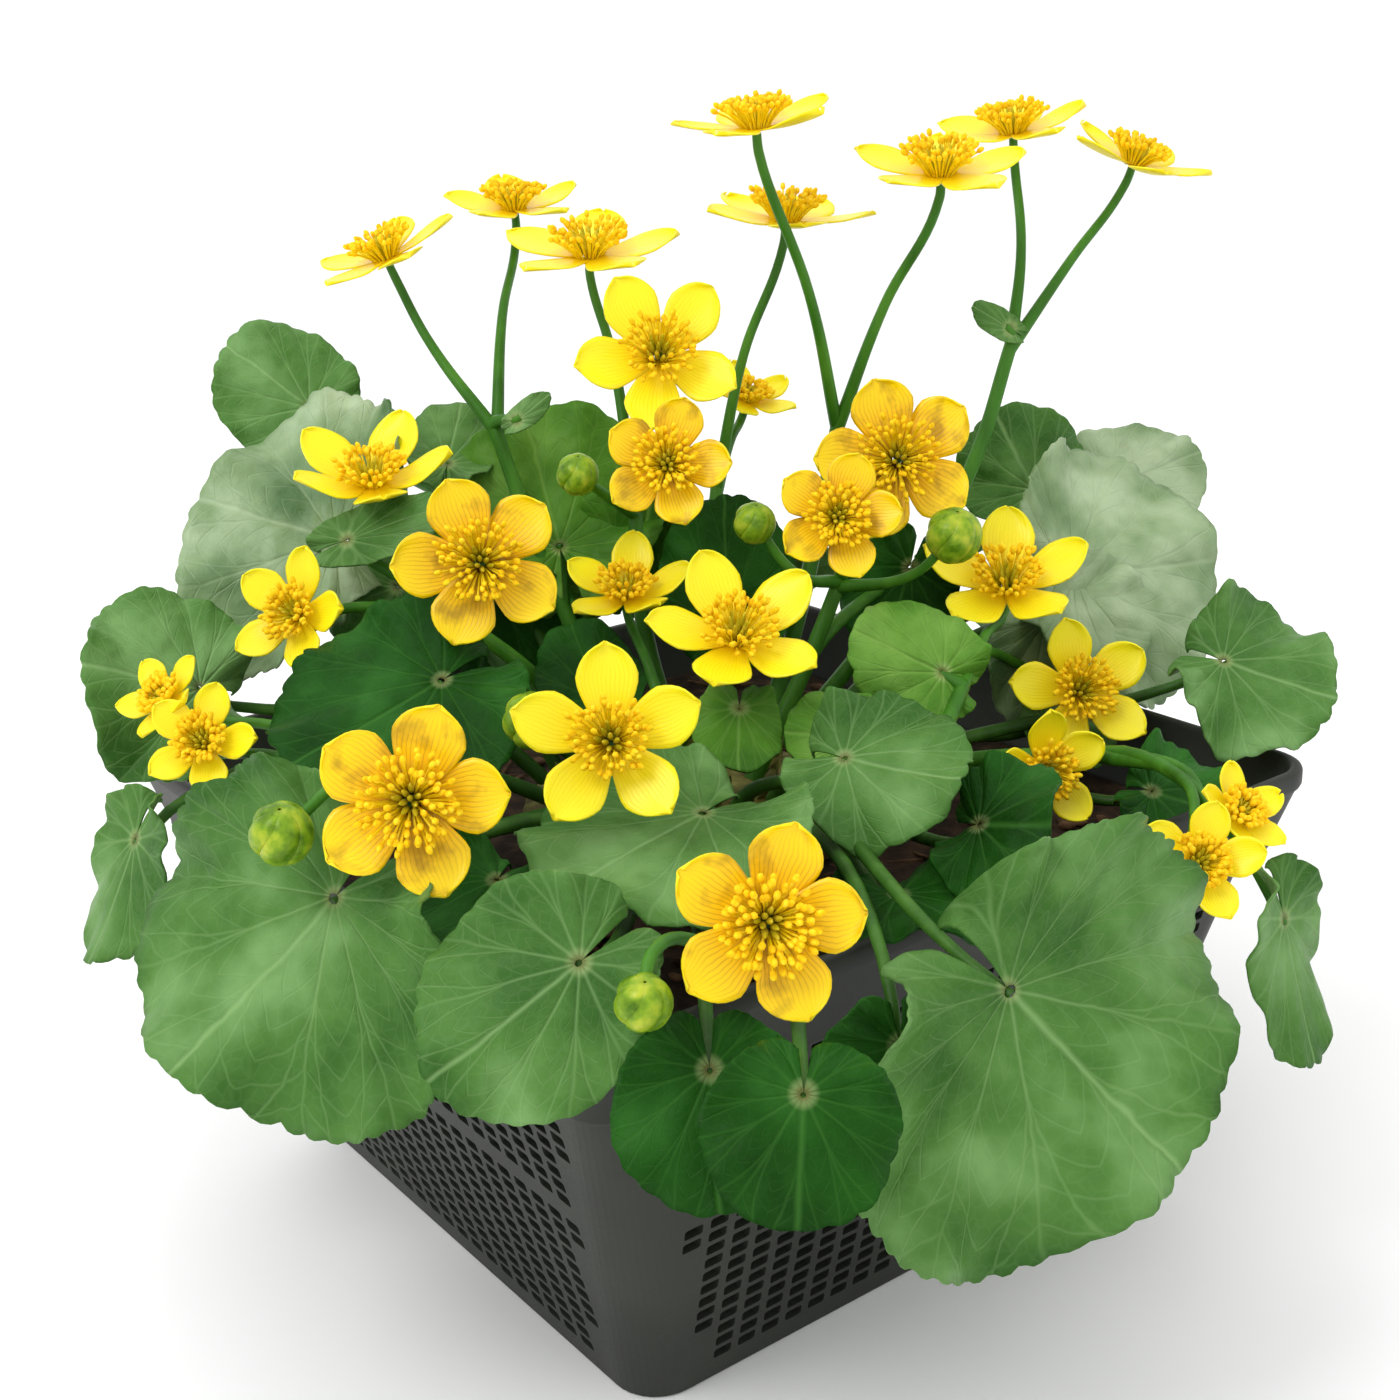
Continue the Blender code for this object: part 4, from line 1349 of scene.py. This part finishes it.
@dataclass
class SoilBed:
    """Loam that fills the basket, crumbled on top and covered with bark and twigs."""

    basket: Basket
    top: float = 86
    gap: float = 0.8
    steps: int = 64
    chips: int = 260
    twigs: int = 34

    def surface(self, x: float, y: float) -> float:
        """Returns the height of the soil's surface in millimetres at a point in millimetres."""
        coarse = noise.noise(Vector((x / 17, y / 17, 3.1)))
        fine = noise.noise(Vector((x / 4.5, y / 4.5, 7.7)))
        mound = 2.6 * math.exp(-((x * x + y * y) / 45**2))
        return self.top - 3.0 + 1.8 * coarse + 0.9 * fine + mound

    def bed(self, finish: bpy.types.Material) -> bpy.types.Mesh:
        """Builds the soil's closed body.

        Args:
            finish: its material.

        Returns:
            The mesh.
        """
        body = bmesh.new()
        radius_in = self.basket.wall
        rings = []
        for level in (3.2, 20, 40, 60, 76, self.top - 4):
            side = self.basket.side_at(level) - 2 * self.basket.wall - 2 * self.gap
            rings.append([body.verts.new(p) for p in self.basket.square(side, level, radius_in)])
        edge = self.basket.side_at(self.top - 4) - 2 * self.basket.wall - 2 * self.gap
        for share in (0.985, 0.95, 0.88, 0.8, 0.7, 0.6, 0.5, 0.4, 0.3, 0.2, 0.1, 0.03):
            ring = []
            for point in self.basket.square(edge, 0, radius_in):
                x, y = point.x / MM * share, point.y / MM * share
                ring.append(body.verts.new(MM * Vector((x, y, self.surface(x, y)))))
            rings.append(ring)
        grid_faces(body, rings, closed=True)
        body.faces.new(rings[0])
        body.faces.new(rings[-1])
        bmesh.ops.recalc_face_normals(body, faces=body.faces)
        return smooth_mesh(body, "soil_bed", finish)

    def mulch(self, finish: bpy.types.Material) -> bpy.types.Mesh:
        """Builds the chips and twigs that lie on the soil.

        Args:
            finish: their material.

        Returns:
            The mesh.
        """
        chance = random.Random("mulch")
        body = bmesh.new()
        reach = self.basket.side_at(self.top) / 2 - self.basket.wall - 4
        for number in range(self.chips + self.twigs):
            twig = number >= self.chips
            long = chance.uniform(12, 26) if twig else chance.uniform(2.5, 7)
            wide = chance.uniform(0.9, 1.5) if twig else long * chance.uniform(0.35, 0.7)
            thick = wide if twig else chance.uniform(0.8, 1.8)
            room = reach - long / 2 - 1
            x, y = chance.uniform(-room, room), chance.uniform(-room, room)
            turn = Matrix.Rotation(chance.uniform(0, math.tau), 4, "Z")
            tilt = Matrix.Rotation(chance.uniform(-0.2, 0.2), 4, "Y")
            size = Matrix.Diagonal((long / 2 * MM, wide / 2 * MM, thick / 2 * MM, 1))
            at = Matrix.Translation(MM * Vector((x, y, self.surface(x, y) + thick * 0.35)))
            made = bmesh.ops.create_icosphere(body, subdivisions=2, radius=1)
            for vert in made["verts"]:
                rough = 1 + 0.3 * noise.noise(vert.co * 1.7 + Vector((number, 0, 0)))
                square = Vector([math.copysign(abs(c) ** 0.7, c) for c in vert.co])
                vert.co = at @ turn @ tilt @ size @ (square * rough)
        return smooth_mesh(body, "bark_mulch", finish)

    def build(self, palette: Palette) -> None:
        """Makes the soil and its mulch.

        Args:
            palette: the finishes.
        """
        new_piece("soil_bed", self.bed(palette.loam), "soil", "soil")
        new_piece("bark_mulch", self.mulch(palette.bark), "soil", "soil")


@dataclass
class Crown:
    """The short crown that every stalk rises from, with the sheaths of its leaf bases."""

    radius: float = 40
    low: float = 85
    high: float = 91.5
    sheaths: int = 46

    def mound(self, finish: bpy.types.Material) -> bpy.types.Mesh:
        """Builds the low uneven mound.

        Args:
            finish: its material.

        Returns:
            The mesh.
        """
        body = bmesh.new()
        rings = []
        for step in range(9):
            share = step / 8
            ring = []
            for corner in range(48):
                angle = math.tau * corner / 48
                rough = 1 + 0.1 * noise.noise(Vector((3 * math.cos(angle), 3 * math.sin(angle), 1)))
                out = self.radius * (1 - share * 0.97) * rough
                up = self.low + (self.high - self.low) * (1 - (1 - share) ** 2.5)
                up += 0.8 * noise.noise(Vector((out * math.cos(angle), out * math.sin(angle), 0)) / 5)
                spot = Vector((out * math.cos(angle), out * math.sin(angle), up))
                ring.append(body.verts.new(MM * spot))
            rings.append(ring)
        grid_faces(body, rings, closed=True)
        body.faces.new(rings[-1])
        body.faces.new(rings[0])
        bmesh.ops.recalc_face_normals(body, faces=body.faces)
        return smooth_mesh(body, "crown_mound", finish)

    def leaf_sheaths(self, finish: bpy.types.Material) -> bpy.types.Mesh:
        """Builds the papery sheaths that stand round the stalks' bases.

        Args:
            finish: their material.

        Returns:
            The mesh.
        """
        chance = random.Random("sheaths")
        body = bmesh.new()
        for number in range(self.sheaths):
            out = (self.radius - 5) * math.sqrt((number + 0.5) / self.sheaths)
            turn = number * GOLDEN_ANGLE
            at = Matrix.Translation(
                MM * Vector((out * math.cos(turn), out * math.sin(turn), self.high - 2.5))
            )
            spin = Matrix.Rotation(turn, 4, "Z") @ Matrix.Rotation(chance.uniform(0.1, 0.7), 4, "Y")
            tall, wide = chance.uniform(6, 11), chance.uniform(2.4, 4)
            rows = []
            for i in range(6):
                up = i / 5
                half = wide * (1 - up**2.2) + 0.12
                row = []
                for j in range(7):
                    side = 2 * j / 6 - 1
                    spot = Vector((-1.6 * side**2 * (1 - up) + up**2, half * side, tall * up))
                    row.append(body.verts.new(at @ spin @ (MM * spot)))
                rows.append(row)
            grid_faces(body, rows)
        return smooth_mesh(body, "leaf_sheaths", finish)

    def build(self, palette: Palette) -> None:
        """Makes the crown.

        Args:
            palette: the finishes.
        """
        new_piece("crown_mound", self.mound(palette.sheath), "leaf_green", "crown")
        sheaths = new_piece("leaf_sheaths", self.leaf_sheaths(palette.sheath), "leaf_green", "crown")
        add_skin(sheaths, 0.3)


@dataclass
class Studio:
    """The plain floor, the soft light and the camera at the photograph's angle."""

    camera_at: Spot = (1.1, -395.6, 246.5)
    looks_at: Spot = (1.1, 0.0, 110.5)
    roll: float = math.radians(-2.12)
    lens: float = 48.857
    lights: tuple[tuple[str, Spot, float, float], ...] = (
        ("key", (-500, -500, 900), 0.45, 3.4),
        ("fill", (800, -500, 500), 1.2, 0.3),
        ("top", (-100, 200, 1200), 1.0, 1.6),
        ("back", (-200, 900, 600), 0.8, 0.5),
    )

    def add_floor(self, palette: Palette) -> None:
        """Lays the pale floor.

        Args:
            palette: the finishes.
        """
        body = bmesh.new()
        bmesh.ops.create_grid(body, x_segments=4, y_segments=4, size=40.0)
        floor = bpy.data.objects.new("floor", smooth_mesh(body, "floor", palette.floor))
        bpy.context.scene.collection.objects.link(floor)
        floor.location.z = -0.0004

    def add_lights(self) -> None:
        """Hangs the soft boxes and sets the even light of the room."""
        for name, spot, size, power in self.lights:
            lamp = bpy.data.lights.new(name, "AREA")
            lamp.shape, lamp.size, lamp.energy = "DISK", size, power
            item = bpy.data.objects.new(name, lamp)
            item.location = place(spot)
            aim = place(self.looks_at) - item.location
            item.rotation_euler = aim.to_track_quat("-Z", "Y").to_euler()
            bpy.context.scene.collection.objects.link(item)
        room = bpy.data.worlds.new("room")
        room.use_nodes = True
        sky = room.node_tree.nodes["Background"]
        sky.inputs["Color"].default_value = linear("ffffff")
        sky.inputs["Strength"].default_value = 1.06
        bpy.context.scene.world = room
        bpy.context.scene.view_settings.view_transform = "Standard"

    def add_camera(self) -> None:
        """Sets up the camera."""
        lens = bpy.data.cameras.new("camera")
        lens.lens, lens.sensor_width = self.lens, 36
        lens.clip_start, lens.clip_end = 0.01, 100
        camera = bpy.data.objects.new("camera", lens)
        camera.location = place(self.camera_at)
        back = (camera.location - place(self.looks_at)).normalized()
        right = Vector((0, 0, 1)).cross(back).normalized()
        up = back.cross(right)
        turned = right * math.cos(self.roll) + up * math.sin(self.roll)
        upright = up * math.cos(self.roll) - right * math.sin(self.roll)
        axes = Matrix((turned, upright, back)).transposed()
        camera.rotation_mode = "QUATERNION"
        camera.rotation_quaternion = axes.to_quaternion()
        bpy.context.scene.collection.objects.link(camera)
        bpy.context.scene.camera = camera


@dataclass
class Marigold:
    """The whole plant: its leaves, flowers, buds and stems, in their places."""

    leaves: tuple[Leaf, ...] = (
        Leaf(
            Blade("leaf_front_left", (-63, -96, 110), (-90, -106, 82), (-0.3, -0.75, 0.6), 74, 5),
            0.35, 0.5, (-17, -28),
        ),
        Leaf(
            Blade("leaf_front_right", (50, -116, 98), (76, -126, 69), (0.35, -0.75, 0.55), 88, 5),
            0.35, 0.35, (19, -27),
        ),
        Leaf(
            Blade("leaf_rim_low", (0.5, -139, 98.5), (1, -149, 79), (0, -0.85, 0.5), 31, 2, LeafKind.DEEP),
            0.1, 0.5, (-3, -34),
        ),
        Leaf(
            Blade("leaf_rim_front", (14, -153, 102), (12, -162, 85), (0.05, -0.85, 0.5), 30, 2, LeafKind.DEEP),
            0.1, 0.5, (12, -36),
        ),
        Leaf(
            Blade("leaf_left_folded", (-19, -130, 113), (-43, -136, 96), (-0.1, -0.85, 0.5), 36, 3),
            0.1, 0.9, (-9, -33),
        ),
        Leaf(
            Blade("leaf_middle", (1, -74, 114), (-24, -99, 111), (-0.05, -0.25, 0.96), 54, 3),
            0.6, 0.5, (-6, -23),
        ),
        Leaf(
            Blade("leaf_middle_right", (28, -59, 118), (49, -73, 117), (0.1, -0.6, 0.8), 36, 3),
            0.6, 0.6, (7, -24),
        ),
        Leaf(
            Blade("leaf_round_left", (-50, -36, 129), (-78, -54, 118), (-0.15, -0.6, 0.8), 54, 4, LeafKind.DEEP),
            0.7, 0.6, (-20, -14),
        ),
        Leaf(
            Blade("leaf_behind_bud", (-21, -8, 114), (-27, 10, 127), (0, -0.6, 0.8), 24, 3, LeafKind.DEEP),
            0.8, 0.6, (-13, -4),
        ),
        Leaf(
            Blade("leaf_by_stem", (52, -70, 108), (64, -79, 111.5), (0.1, -0.6, 0.8), 34, 3, LeafKind.DEEP),
            0.2, 0.5, (32, -24),
        ),
        Leaf(
            Blade("leaf_inner_right", (34, -34, 112), (18, -36, 116), (0, -0.6, 0.8), 24, 3, LeafKind.YOUNG),
            0.7, 0.5, (16, -17),
        ),
        Leaf(
            Blade("leaf_rear", (12, 88, 114), (18, 114, 105), (0, 0.6, 0.8), 54, 5, LeafKind.GLAUCOUS),
            0.5, 0.5, (4, 36),
        ),
        Leaf(
            Blade("leaf_tall_left", (-80, 24, 144), (-112, 32, 152), (0.1, -0.75, 0.6), 76, 6, LeafKind.GLAUCOUS),
            0.7, 0.6, (-27, 7),
        ),
        Leaf(
            Blade("leaf_tall_right", (89, 31, 127), (124, 40, 127), (-0.1, -0.85, 0.5), 66, 6, LeafKind.GLAUCOUS),
            0.7, 0.6, (27, 9),
        ),
        Leaf(
            Blade("leaf_far_left", (-106, -8, 120), (-127, -20, 130), (-0.3, -0.7, 0.6), 44, 4),
            0.6, 0.6, (-34, 0),
        ),
        Leaf(
            Blade("leaf_right_gap", (80, 16, 97), (97, 14, 95.5), (0, -0.3, 0.95), 29, 2),
            0.4, 0.5, (31, 6),
        ),
        Leaf(
            Blade("leaf_far_right", (117, 3, 114), (139, -7, 107), (0.3, -0.6, 0.7), 45, 3),
            0.22, 0.6, (36, 1),
        ),
        Leaf(
            Blade("leaf_hanging_left", (-110, -52, 104), (-118, -62, 82), (-0.6, -0.6, 0.3), 26, 2),
            0.4, 0.3, (-30, -14),
        ),
        Leaf(
            Blade("leaf_under_right", (32, -117, 89), (32, -126, 70), (0.1, -0.7, 0.7), 30, 2, LeafKind.DEEP),
            0.35, 0.2, (17, -33),
        ),
        # Small leaves deep in the tuft, past the number that the solids keep.
        Leaf(
            Blade("leaf_small_left", (-37, -78, 104), (-46, -95, 99), (-0.1, -0.5, 0.85), 34, 3, LeafKind.DEEP),
            0.4, 0.5, (-20, -22), solid=False,
        ),
        Leaf(
            Blade("leaf_small_front", (36, -80, 99), (40, -97, 98.5), (0.1, -0.4, 0.9), 32, 3, LeafKind.DEEP),
            0.3, 0.5, (26, -30), solid=False,
        ),
        Leaf(
            Blade("leaf_small_right", (94, -30, 97), (108, -37, 94), (0.1, -0.4, 0.9), 34, 3, LeafKind.DEEP),
            0.4, 0.5, (40, -12), solid=False,
        ),
        Leaf(
            Blade("leaf_small_back", (82, 26, 118), (100, 20, 101), (-0.1, -0.8, 0.55), 46, 3, LeafKind.GLAUCOUS),
            0.6, 0.6, (36, 8), solid=False,
        ),
        Leaf(
            Blade("leaf_small_middle", (-14, 38, 126), (-8, 33, 150), (0.05, -0.9, 0.4), 40, 3, LeafKind.YOUNG),
            0.8, 0.6, (-6, 16), solid=False,
        ),
        Leaf(
            Blade("leaf_small_rear", (-46, 34, 128), (-50, 28, 109), (0, -0.8, 0.6), 44, 3, LeafKind.DEEP),
            0.7, 0.6, (-24, 14), solid=False,
        ),
        Leaf(
            Blade("leaf_small_far", (-66, 18, 134), (-76, 12, 121), (-0.1, -0.8, 0.6), 38, 3, LeafKind.MATURE),
            0.7, 0.6, (-32, 8), solid=False,
        ),
    )
    stem_leaves: tuple[tuple[str, int, Leaf], ...] = (
        ("stem_4", 2, Leaf(
            Blade("bract_left", (-38, 32, 168), (-30, 30, 174), (0, -0.9, 0.4), 6, 1),
            0.5, 0,
        )),
        ("stem_3", 3, Leaf(
            Blade("bract_right", (75, 42, 183), (66, 38, 189), (0, -0.9, 0.4), 7, 1),
            0.5, 0,
        )),
        ("stem_4", 1, Leaf(
            Blade("leaf_back_left", (-30, 32, 138), (-38, 52, 166), (0, -0.7, 0.7), 58, 4, LeafKind.YOUNG),
            0.7, 0.5,
        )),
        ("stem_2", 1, Leaf(
            Blade("leaf_back_middle", (8, 10, 126), (8, 24, 151), (0, -0.85, 0.5), 32, 4, LeafKind.DEEP),
            0.5, 0.7,
        )),
        ("stem_4", 1, Leaf(
            Blade("leaf_top_left", (-92, 70, 166), (-112, 74, 182), (-0.2, -0.6, 0.7), 34, 3),
            0.6, 0.5,
        )),
        ("stem_3", 1, Leaf(
            Blade("leaf_top_right", (104, 70, 138), (128, 72, 146), (0.3, -0.6, 0.7), 34, 3, LeafKind.GLAUCOUS),
            0.6, 0.5,
        )),
        ("stem_4", 1, Leaf(
            Blade("leaf_behind_left", (-56, 44, 156), (-54, 62, 167), (0.1, -0.7, 0.7), 24, 2),
            0.6, 0.5,
        )),
        ("stem_4", 1, Leaf(
            Blade("leaf_rear_left", (-52, 78, 112), (-66, 102, 103), (-0.2, 0.6, 0.7), 54, 5, LeafKind.DEEP),
            0.5, 0.5,
        )),
        ("stem_3", 1, Leaf(
            Blade("leaf_rear_right", (72, 66, 112), (90, 84, 103), (0.4, 0.5, 0.75), 48, 5),
            0.5, 0.5,
        )),
        ("stem_6", 1, Leaf(
            Blade("leaf_dark_middle", (50, 22, 133), (42, 14, 113), (0, -0.85, 0.5), 26, 2, LeafKind.DEEP),
            0.5, 0.9,
        )),
        ("stem_7", 3, Leaf(
            Blade("leaf_toothed", (52, -19, 121), (33, -19, 131), (0, -0.75, 0.65), 27, 2, LeafKind.YOUNG),
            0.5, 0.5,
        )),
        ("stem_10", 1, Leaf(
            Blade("leaf_under_flower", (9, -31, 119), (8, -45, 111), (0.1, -0.7, 0.7), 18, 2, LeafKind.YOUNG),
            0.5, 0.5,
        )),
        ("stem_8", 2, Leaf(
            Blade("leaf_hanging_right", (111, -67, 85), (117, -72, 56), (0.6, -0.6, 0.3), 26, 2),
            0.3, 0.15,
        )),
        ("stem_3", 1, Leaf(
            Blade("leaf_right_back", (84, 56, 142), (75, 64, 160), (0, -0.8, 0.6), 34, 2),
            0.5, 0.5,
        )),
        ("stem_9", 2, Leaf(
            Blade("leaf_by_flower", (-74, 6, 148), (-52, 2, 156), (0, -0.8, 0.6), 14, 2),
            0.6, 0.5,
        )),
    )
    flowers: tuple[tuple[str, Flower], ...] = (
        ("flower_01", Flower("flower_01", (17, 12, 230), (-0.1, -0.1, 1), 36, 0, 3)),
        ("flower_02", Flower("flower_02", (24, 38, 209), (0.1, -0.1, 1), 40, 20, 3)),
        ("flower_03", Flower("flower_03", (56, 20, 219), (0, -0.25, 1), 40, 10, 3)),
        ("flower_04", Flower("flower_04", (78, 60, 225), (-0.1, -0.2, 1), 36, 30, 3)),
        ("flower_05", Flower("flower_05", (106, 60, 217), (0.35, -0.2, 1), 35, 0, 3)),
        ("flower_06", Flower("flower_06", (-67, 50, 203), (-0.35, -0.2, 1), 36, 0, 3)),
        ("flower_07", Flower("flower_07", (-39, 74, 211), (0, -0.2, 1), 34, 30, 3)),
        ("flower_08", Flower("flower_08", (-20, 38, 203), (0, -0.25, 1), 42, 10, 3)),
        ("flower_09", Flower("flower_09", (-5, 14, 184), (0.05, -0.8, 0.5), 38, 45, 4)),
        ("flower_10", Flower("flower_10", (-4, -3, 164), (0, -0.95, 0.4), 28, 0, 2, FlowerKind.GOLD)),
        ("flower_11", Flower("flower_11", (15, 58, 166), (0.3, -0.3, 1), 24, 0, 3)),
        ("flower_12", Flower("flower_12", (46, 12, 160), (-0.1, -0.95, 0.35), 37, 33, 2, FlowerKind.GOLD)),
        ("flower_13", Flower("flower_13", (31, -10, 153), (0, -0.95, 0.4), 27, 0, 2, FlowerKind.GOLD)),
        ("flower_14", Flower("flower_14", (-69, 16, 158), (0, -0.35, 0.95), 37, 0, 8)),
        ("flower_15", Flower("flower_15", (-84, -6, 135), (-0.35, -0.75, 0.5), 28, 10, 4)),
        ("flower_16", Flower("flower_16", (-42, -25, 150), (0.1, -0.95, 0.35), 35, 35, 2, FlowerKind.GOLD)),
        ("flower_17", Flower("flower_17", (-14, 0, 135), (0, -0.4, 0.9), 29, 10, 6)),
        ("flower_18", Flower("flower_18", (9, -25, 132), (0.1, -0.55, 0.85), 38, 28, 6)),
        ("flower_19", Flower("flower_19", (-15, -80, 131), (0, -0.9, 0.45), 35, 17, 4)),
        ("flower_20", Flower("flower_20", (-48, -100, 129), (0.05, -0.95, 0.35), 34, 0, 2, FlowerKind.GOLD)),
        ("flower_21", Flower("flower_21", (10, -134, 120.5), (0.05, -0.95, 0.35), 31, 0, 2, FlowerKind.GOLD)),
        ("flower_22", Flower("flower_22", (70, 10, 131), (-0.1, -0.5, 0.85), 38, 20, 7)),
        ("flower_23", Flower("flower_23", (86, 6, 107), (0.1, -0.9, 0.45), 34, 27, 4)),
        ("flower_24", Flower("flower_24", (72, -28, 102), (0.3, -0.9, 0.2), 27, 20, 4)),
        ("flowers_far_left", Flower("flower_25", (-107, -30, 125), (-0.4, -0.5, 0.7), 20, 0, 3)),
        ("flowers_far_left", Flower("flower_26", (-98, -40, 119), (0, -0.8, 0.6), 24, 0, 3)),
        ("flowers_far_right", Flower("flower_27", (93, -71, 99), (0, -0.8, 0.6), 24, 0, 3)),
        ("flowers_far_right", Flower("flower_28", (103, -60, 104), (0.4, -0.5, 0.7), 20, 0, 3)),
    )
    buds: tuple[Bud, ...] = (
        Bud("bud_1", (-23, 0, 162), 9),
        Bud("bud_2", (14, -4, 151), 9),
        Bud("bud_3", (56, -5, 147), 12),
        Bud("bud_4", (-31, -56, 127), 11),
        Bud("bud_5", (-70, -100, 124), 11),
        Bud("bud_6", (-9, -142, 112), 9),
    )
    stems: dict[str, dict[str, tuple[Spot, ...]]] = field(default_factory=lambda: {
        "stem_1": {
            "trunk": ((13, 4, 93), (26, 20, 130), (35, 36, 164)),
            "flower_01": ((28, 22, 195),),
            "flower_03": ((45, 29, 191),),
        },
        "stem_2": {
            "trunk": ((7, 13, 93), (4, 26, 125), (7, 40, 150)),
            "flower_02": ((14, 39, 180),),
            "flower_11": ((11, 54, 158),),
        },
        "stem_3": {
            "trunk": ((20, 16, 93), (46, 30, 120), (66, 38, 152), (76, 44, 180)),
            "flower_04": ((79, 52, 200),),
            "flower_05": ((91, 53, 197),),
        },
        "stem_4": {
            "trunk": ((-12, 14, 93), (-30, 28, 125), (-44, 38, 166)),
            "flower_06": ((-58, 46, 184),),
            "flower_07": ((-42, 56, 188),),
        },
        "stem_5": {
            "trunk": ((-3, 4, 93), (-11, 14, 125), (-12, 24, 152)),
            "flower_08": ((-16, 36, 182),),
            "flower_09": ((-8, 28, 172),),
            "flower_10": ((-6, 12, 158),),
            "bud_1": ((-19, 10, 156),),
        },
        "stem_6": {
            "trunk": ((12, -5, 93), (26, 4, 119), (34, 9, 137)),
            "flower_12": ((43, 17, 149),),
            "flower_13": ((33, 0, 146),),
            "bud_2": ((22, -4, 140),),
            "bud_3": ((48, -2, 138),),
        },
        "stem_7": {
            "trunk": ((26, -27, 93), (35, -49, 97), (46, -38, 107), (56, -20, 118)),
            "flower_22": ((63, -4, 124),),
            "flower_23": ((64, 7, 117), (79, 20, 107)),
        },
        "stem_8": {
            "trunk": ((35, -13, 93), (54, -12, 98), (86, -20, 102)),
            "flower_24": ((78, -19, 102),),
            "flower_27": ((97, -46, 105),),
            "flower_28": ((98, -38, 105),),
        },
        "stem_9": {
            "trunk": ((-18, 5, 93), (-36, 8, 115), (-52, 6, 130)),
            "flower_14": ((-66, 12, 146),),
            "flower_15": ((-74, 2, 134),),
            "flower_16": ((-46, -12, 146),),
        },
        "stem_10": {
            "trunk": ((-3, -13, 93), (-5, -20, 108)),
            "flower_17": ((-10, -7, 122),),
            "flower_18": ((4, -22, 120),),
            "flower_19": ((-9, -48, 125),),
            "bud_4": ((-15, -46, 116), (-24, -54, 123)),
        },
        "stem_11": {
            "trunk": ((-24, -20, 94), (-45, -56, 104)),
            "flower_20": ((-43, -64, 111), (-46, -86, 122)),
            "bud_5": ((-45, -63, 113), (-57, -82, 129)),
            "flower_25": ((-84, -30, 118),),
            "flower_26": ((-84, -38, 115),),
        },
        "stem_12": {
            "trunk": ((1, -18, 94), (3, -58, 98.5), (4, -96, 98.5)),
            "flower_21": ((6, -114, 106),),
            "bud_6": ((2, -118, 109), (-7.5, -136, 117)),
        },
    })
    TRUNK_RADII = (2.1, 1.6)
    BRANCH_RADII = (1.25, 0.95)

    def build_leaves(self, palette: Palette) -> None:
        """Makes the leaves that rise from the crown.

        Args:
            palette: the finishes.
        """
        for leaf in self.leaves:
            leaf.build(palette)
            LOG.info("leaf %s", leaf.blade.name)

    def build_stem_leaves(self, palette: Palette) -> None:
        """Makes the leaves that grow on the flowering stems.

        Args:
            palette: the finishes.
        """
        for stem, number, leaf in self.stem_leaves:
            name = leaf.blade.name
            leaf.blade.build(palette, stem)
            start = place(self.stems[stem]["trunk"][number])
            curve = leaf.stalk_from(start, palette.stalk, name + "_stalk")
            new_piece(name + "_stalk", curve, "stem_green", stem)
            LOG.info("stem leaf %s", name)

    def build_stems(self, palette: Palette) -> None:
        """Makes the flowering stems and their branches.

        Args:
            palette: the finishes.
        """
        heads = {flower.name: flower for _, flower in self.flowers}
        buds = {bud.name: bud for bud in self.buds}
        for stem, parts in self.stems.items():
            trunk = [place(spot) for spot in parts["trunk"]]
            curve = Stalk(stem + "_trunk", self.TRUNK_RADII).through(trunk, palette.stalk)
            new_piece(stem + "_trunk", curve, "stem_green", stem)
            back = (trunk[-2] - trunk[-1]).normalized()
            for number, (head, via) in enumerate(list(parts.items())[1:], 1):
                points = [trunk[-1] + back * 1.2 * number * MM]
                points += [place(spot) for spot in via]
                if head in heads:
                    flower = heads[head]
                    middle, facing = place(flower.middle), heading(flower.facing)
                    points += [middle - facing * 5 * MM, middle + facing * 0.3 * MM]
                else:
                    points.append(place(buds[head].middle))
                name = f"{stem}_{head}_stalk"
                curve = Stalk(name, self.BRANCH_RADII, 1.25).through(points, palette.stalk)
                new_piece(name, curve, "stem_green", stem)
            LOG.info("stem %s", stem)

    def build_flowers(self, palette: Palette) -> None:
        """Makes the open flowers and the buds.

        Args:
            palette: the finishes.
        """
        for node, flower in self.flowers:
            flower.build(palette, node)
            LOG.info("flower %s", flower.name)
        carriers = {head: stem for stem, parts in self.stems.items() for head in parts}
        for bud in self.buds:
            bud.build(palette, carriers[bud.name])
            LOG.info("bud %s", bud.name)


def main() -> None:
    """Builds the basket, the soil, the plant and the studio, in order."""
    logging.basicConfig(level=logging.INFO, format="%(name)s: %(message)s")
    palette = Palette()
    basket = Basket()
    basket.build(palette)
    LOG.info("basket")
    SoilBed(basket).build(palette)
    Crown().build(palette)
    LOG.info("soil and crown")
    plant = Marigold()
    plant.build_leaves(palette)
    plant.build_stem_leaves(palette)
    plant.build_stems(palette)
    plant.build_flowers(palette)
    studio = Studio()
    studio.add_floor(palette)
    studio.add_lights()
    studio.add_camera()


if __name__ == "__main__":
    main()
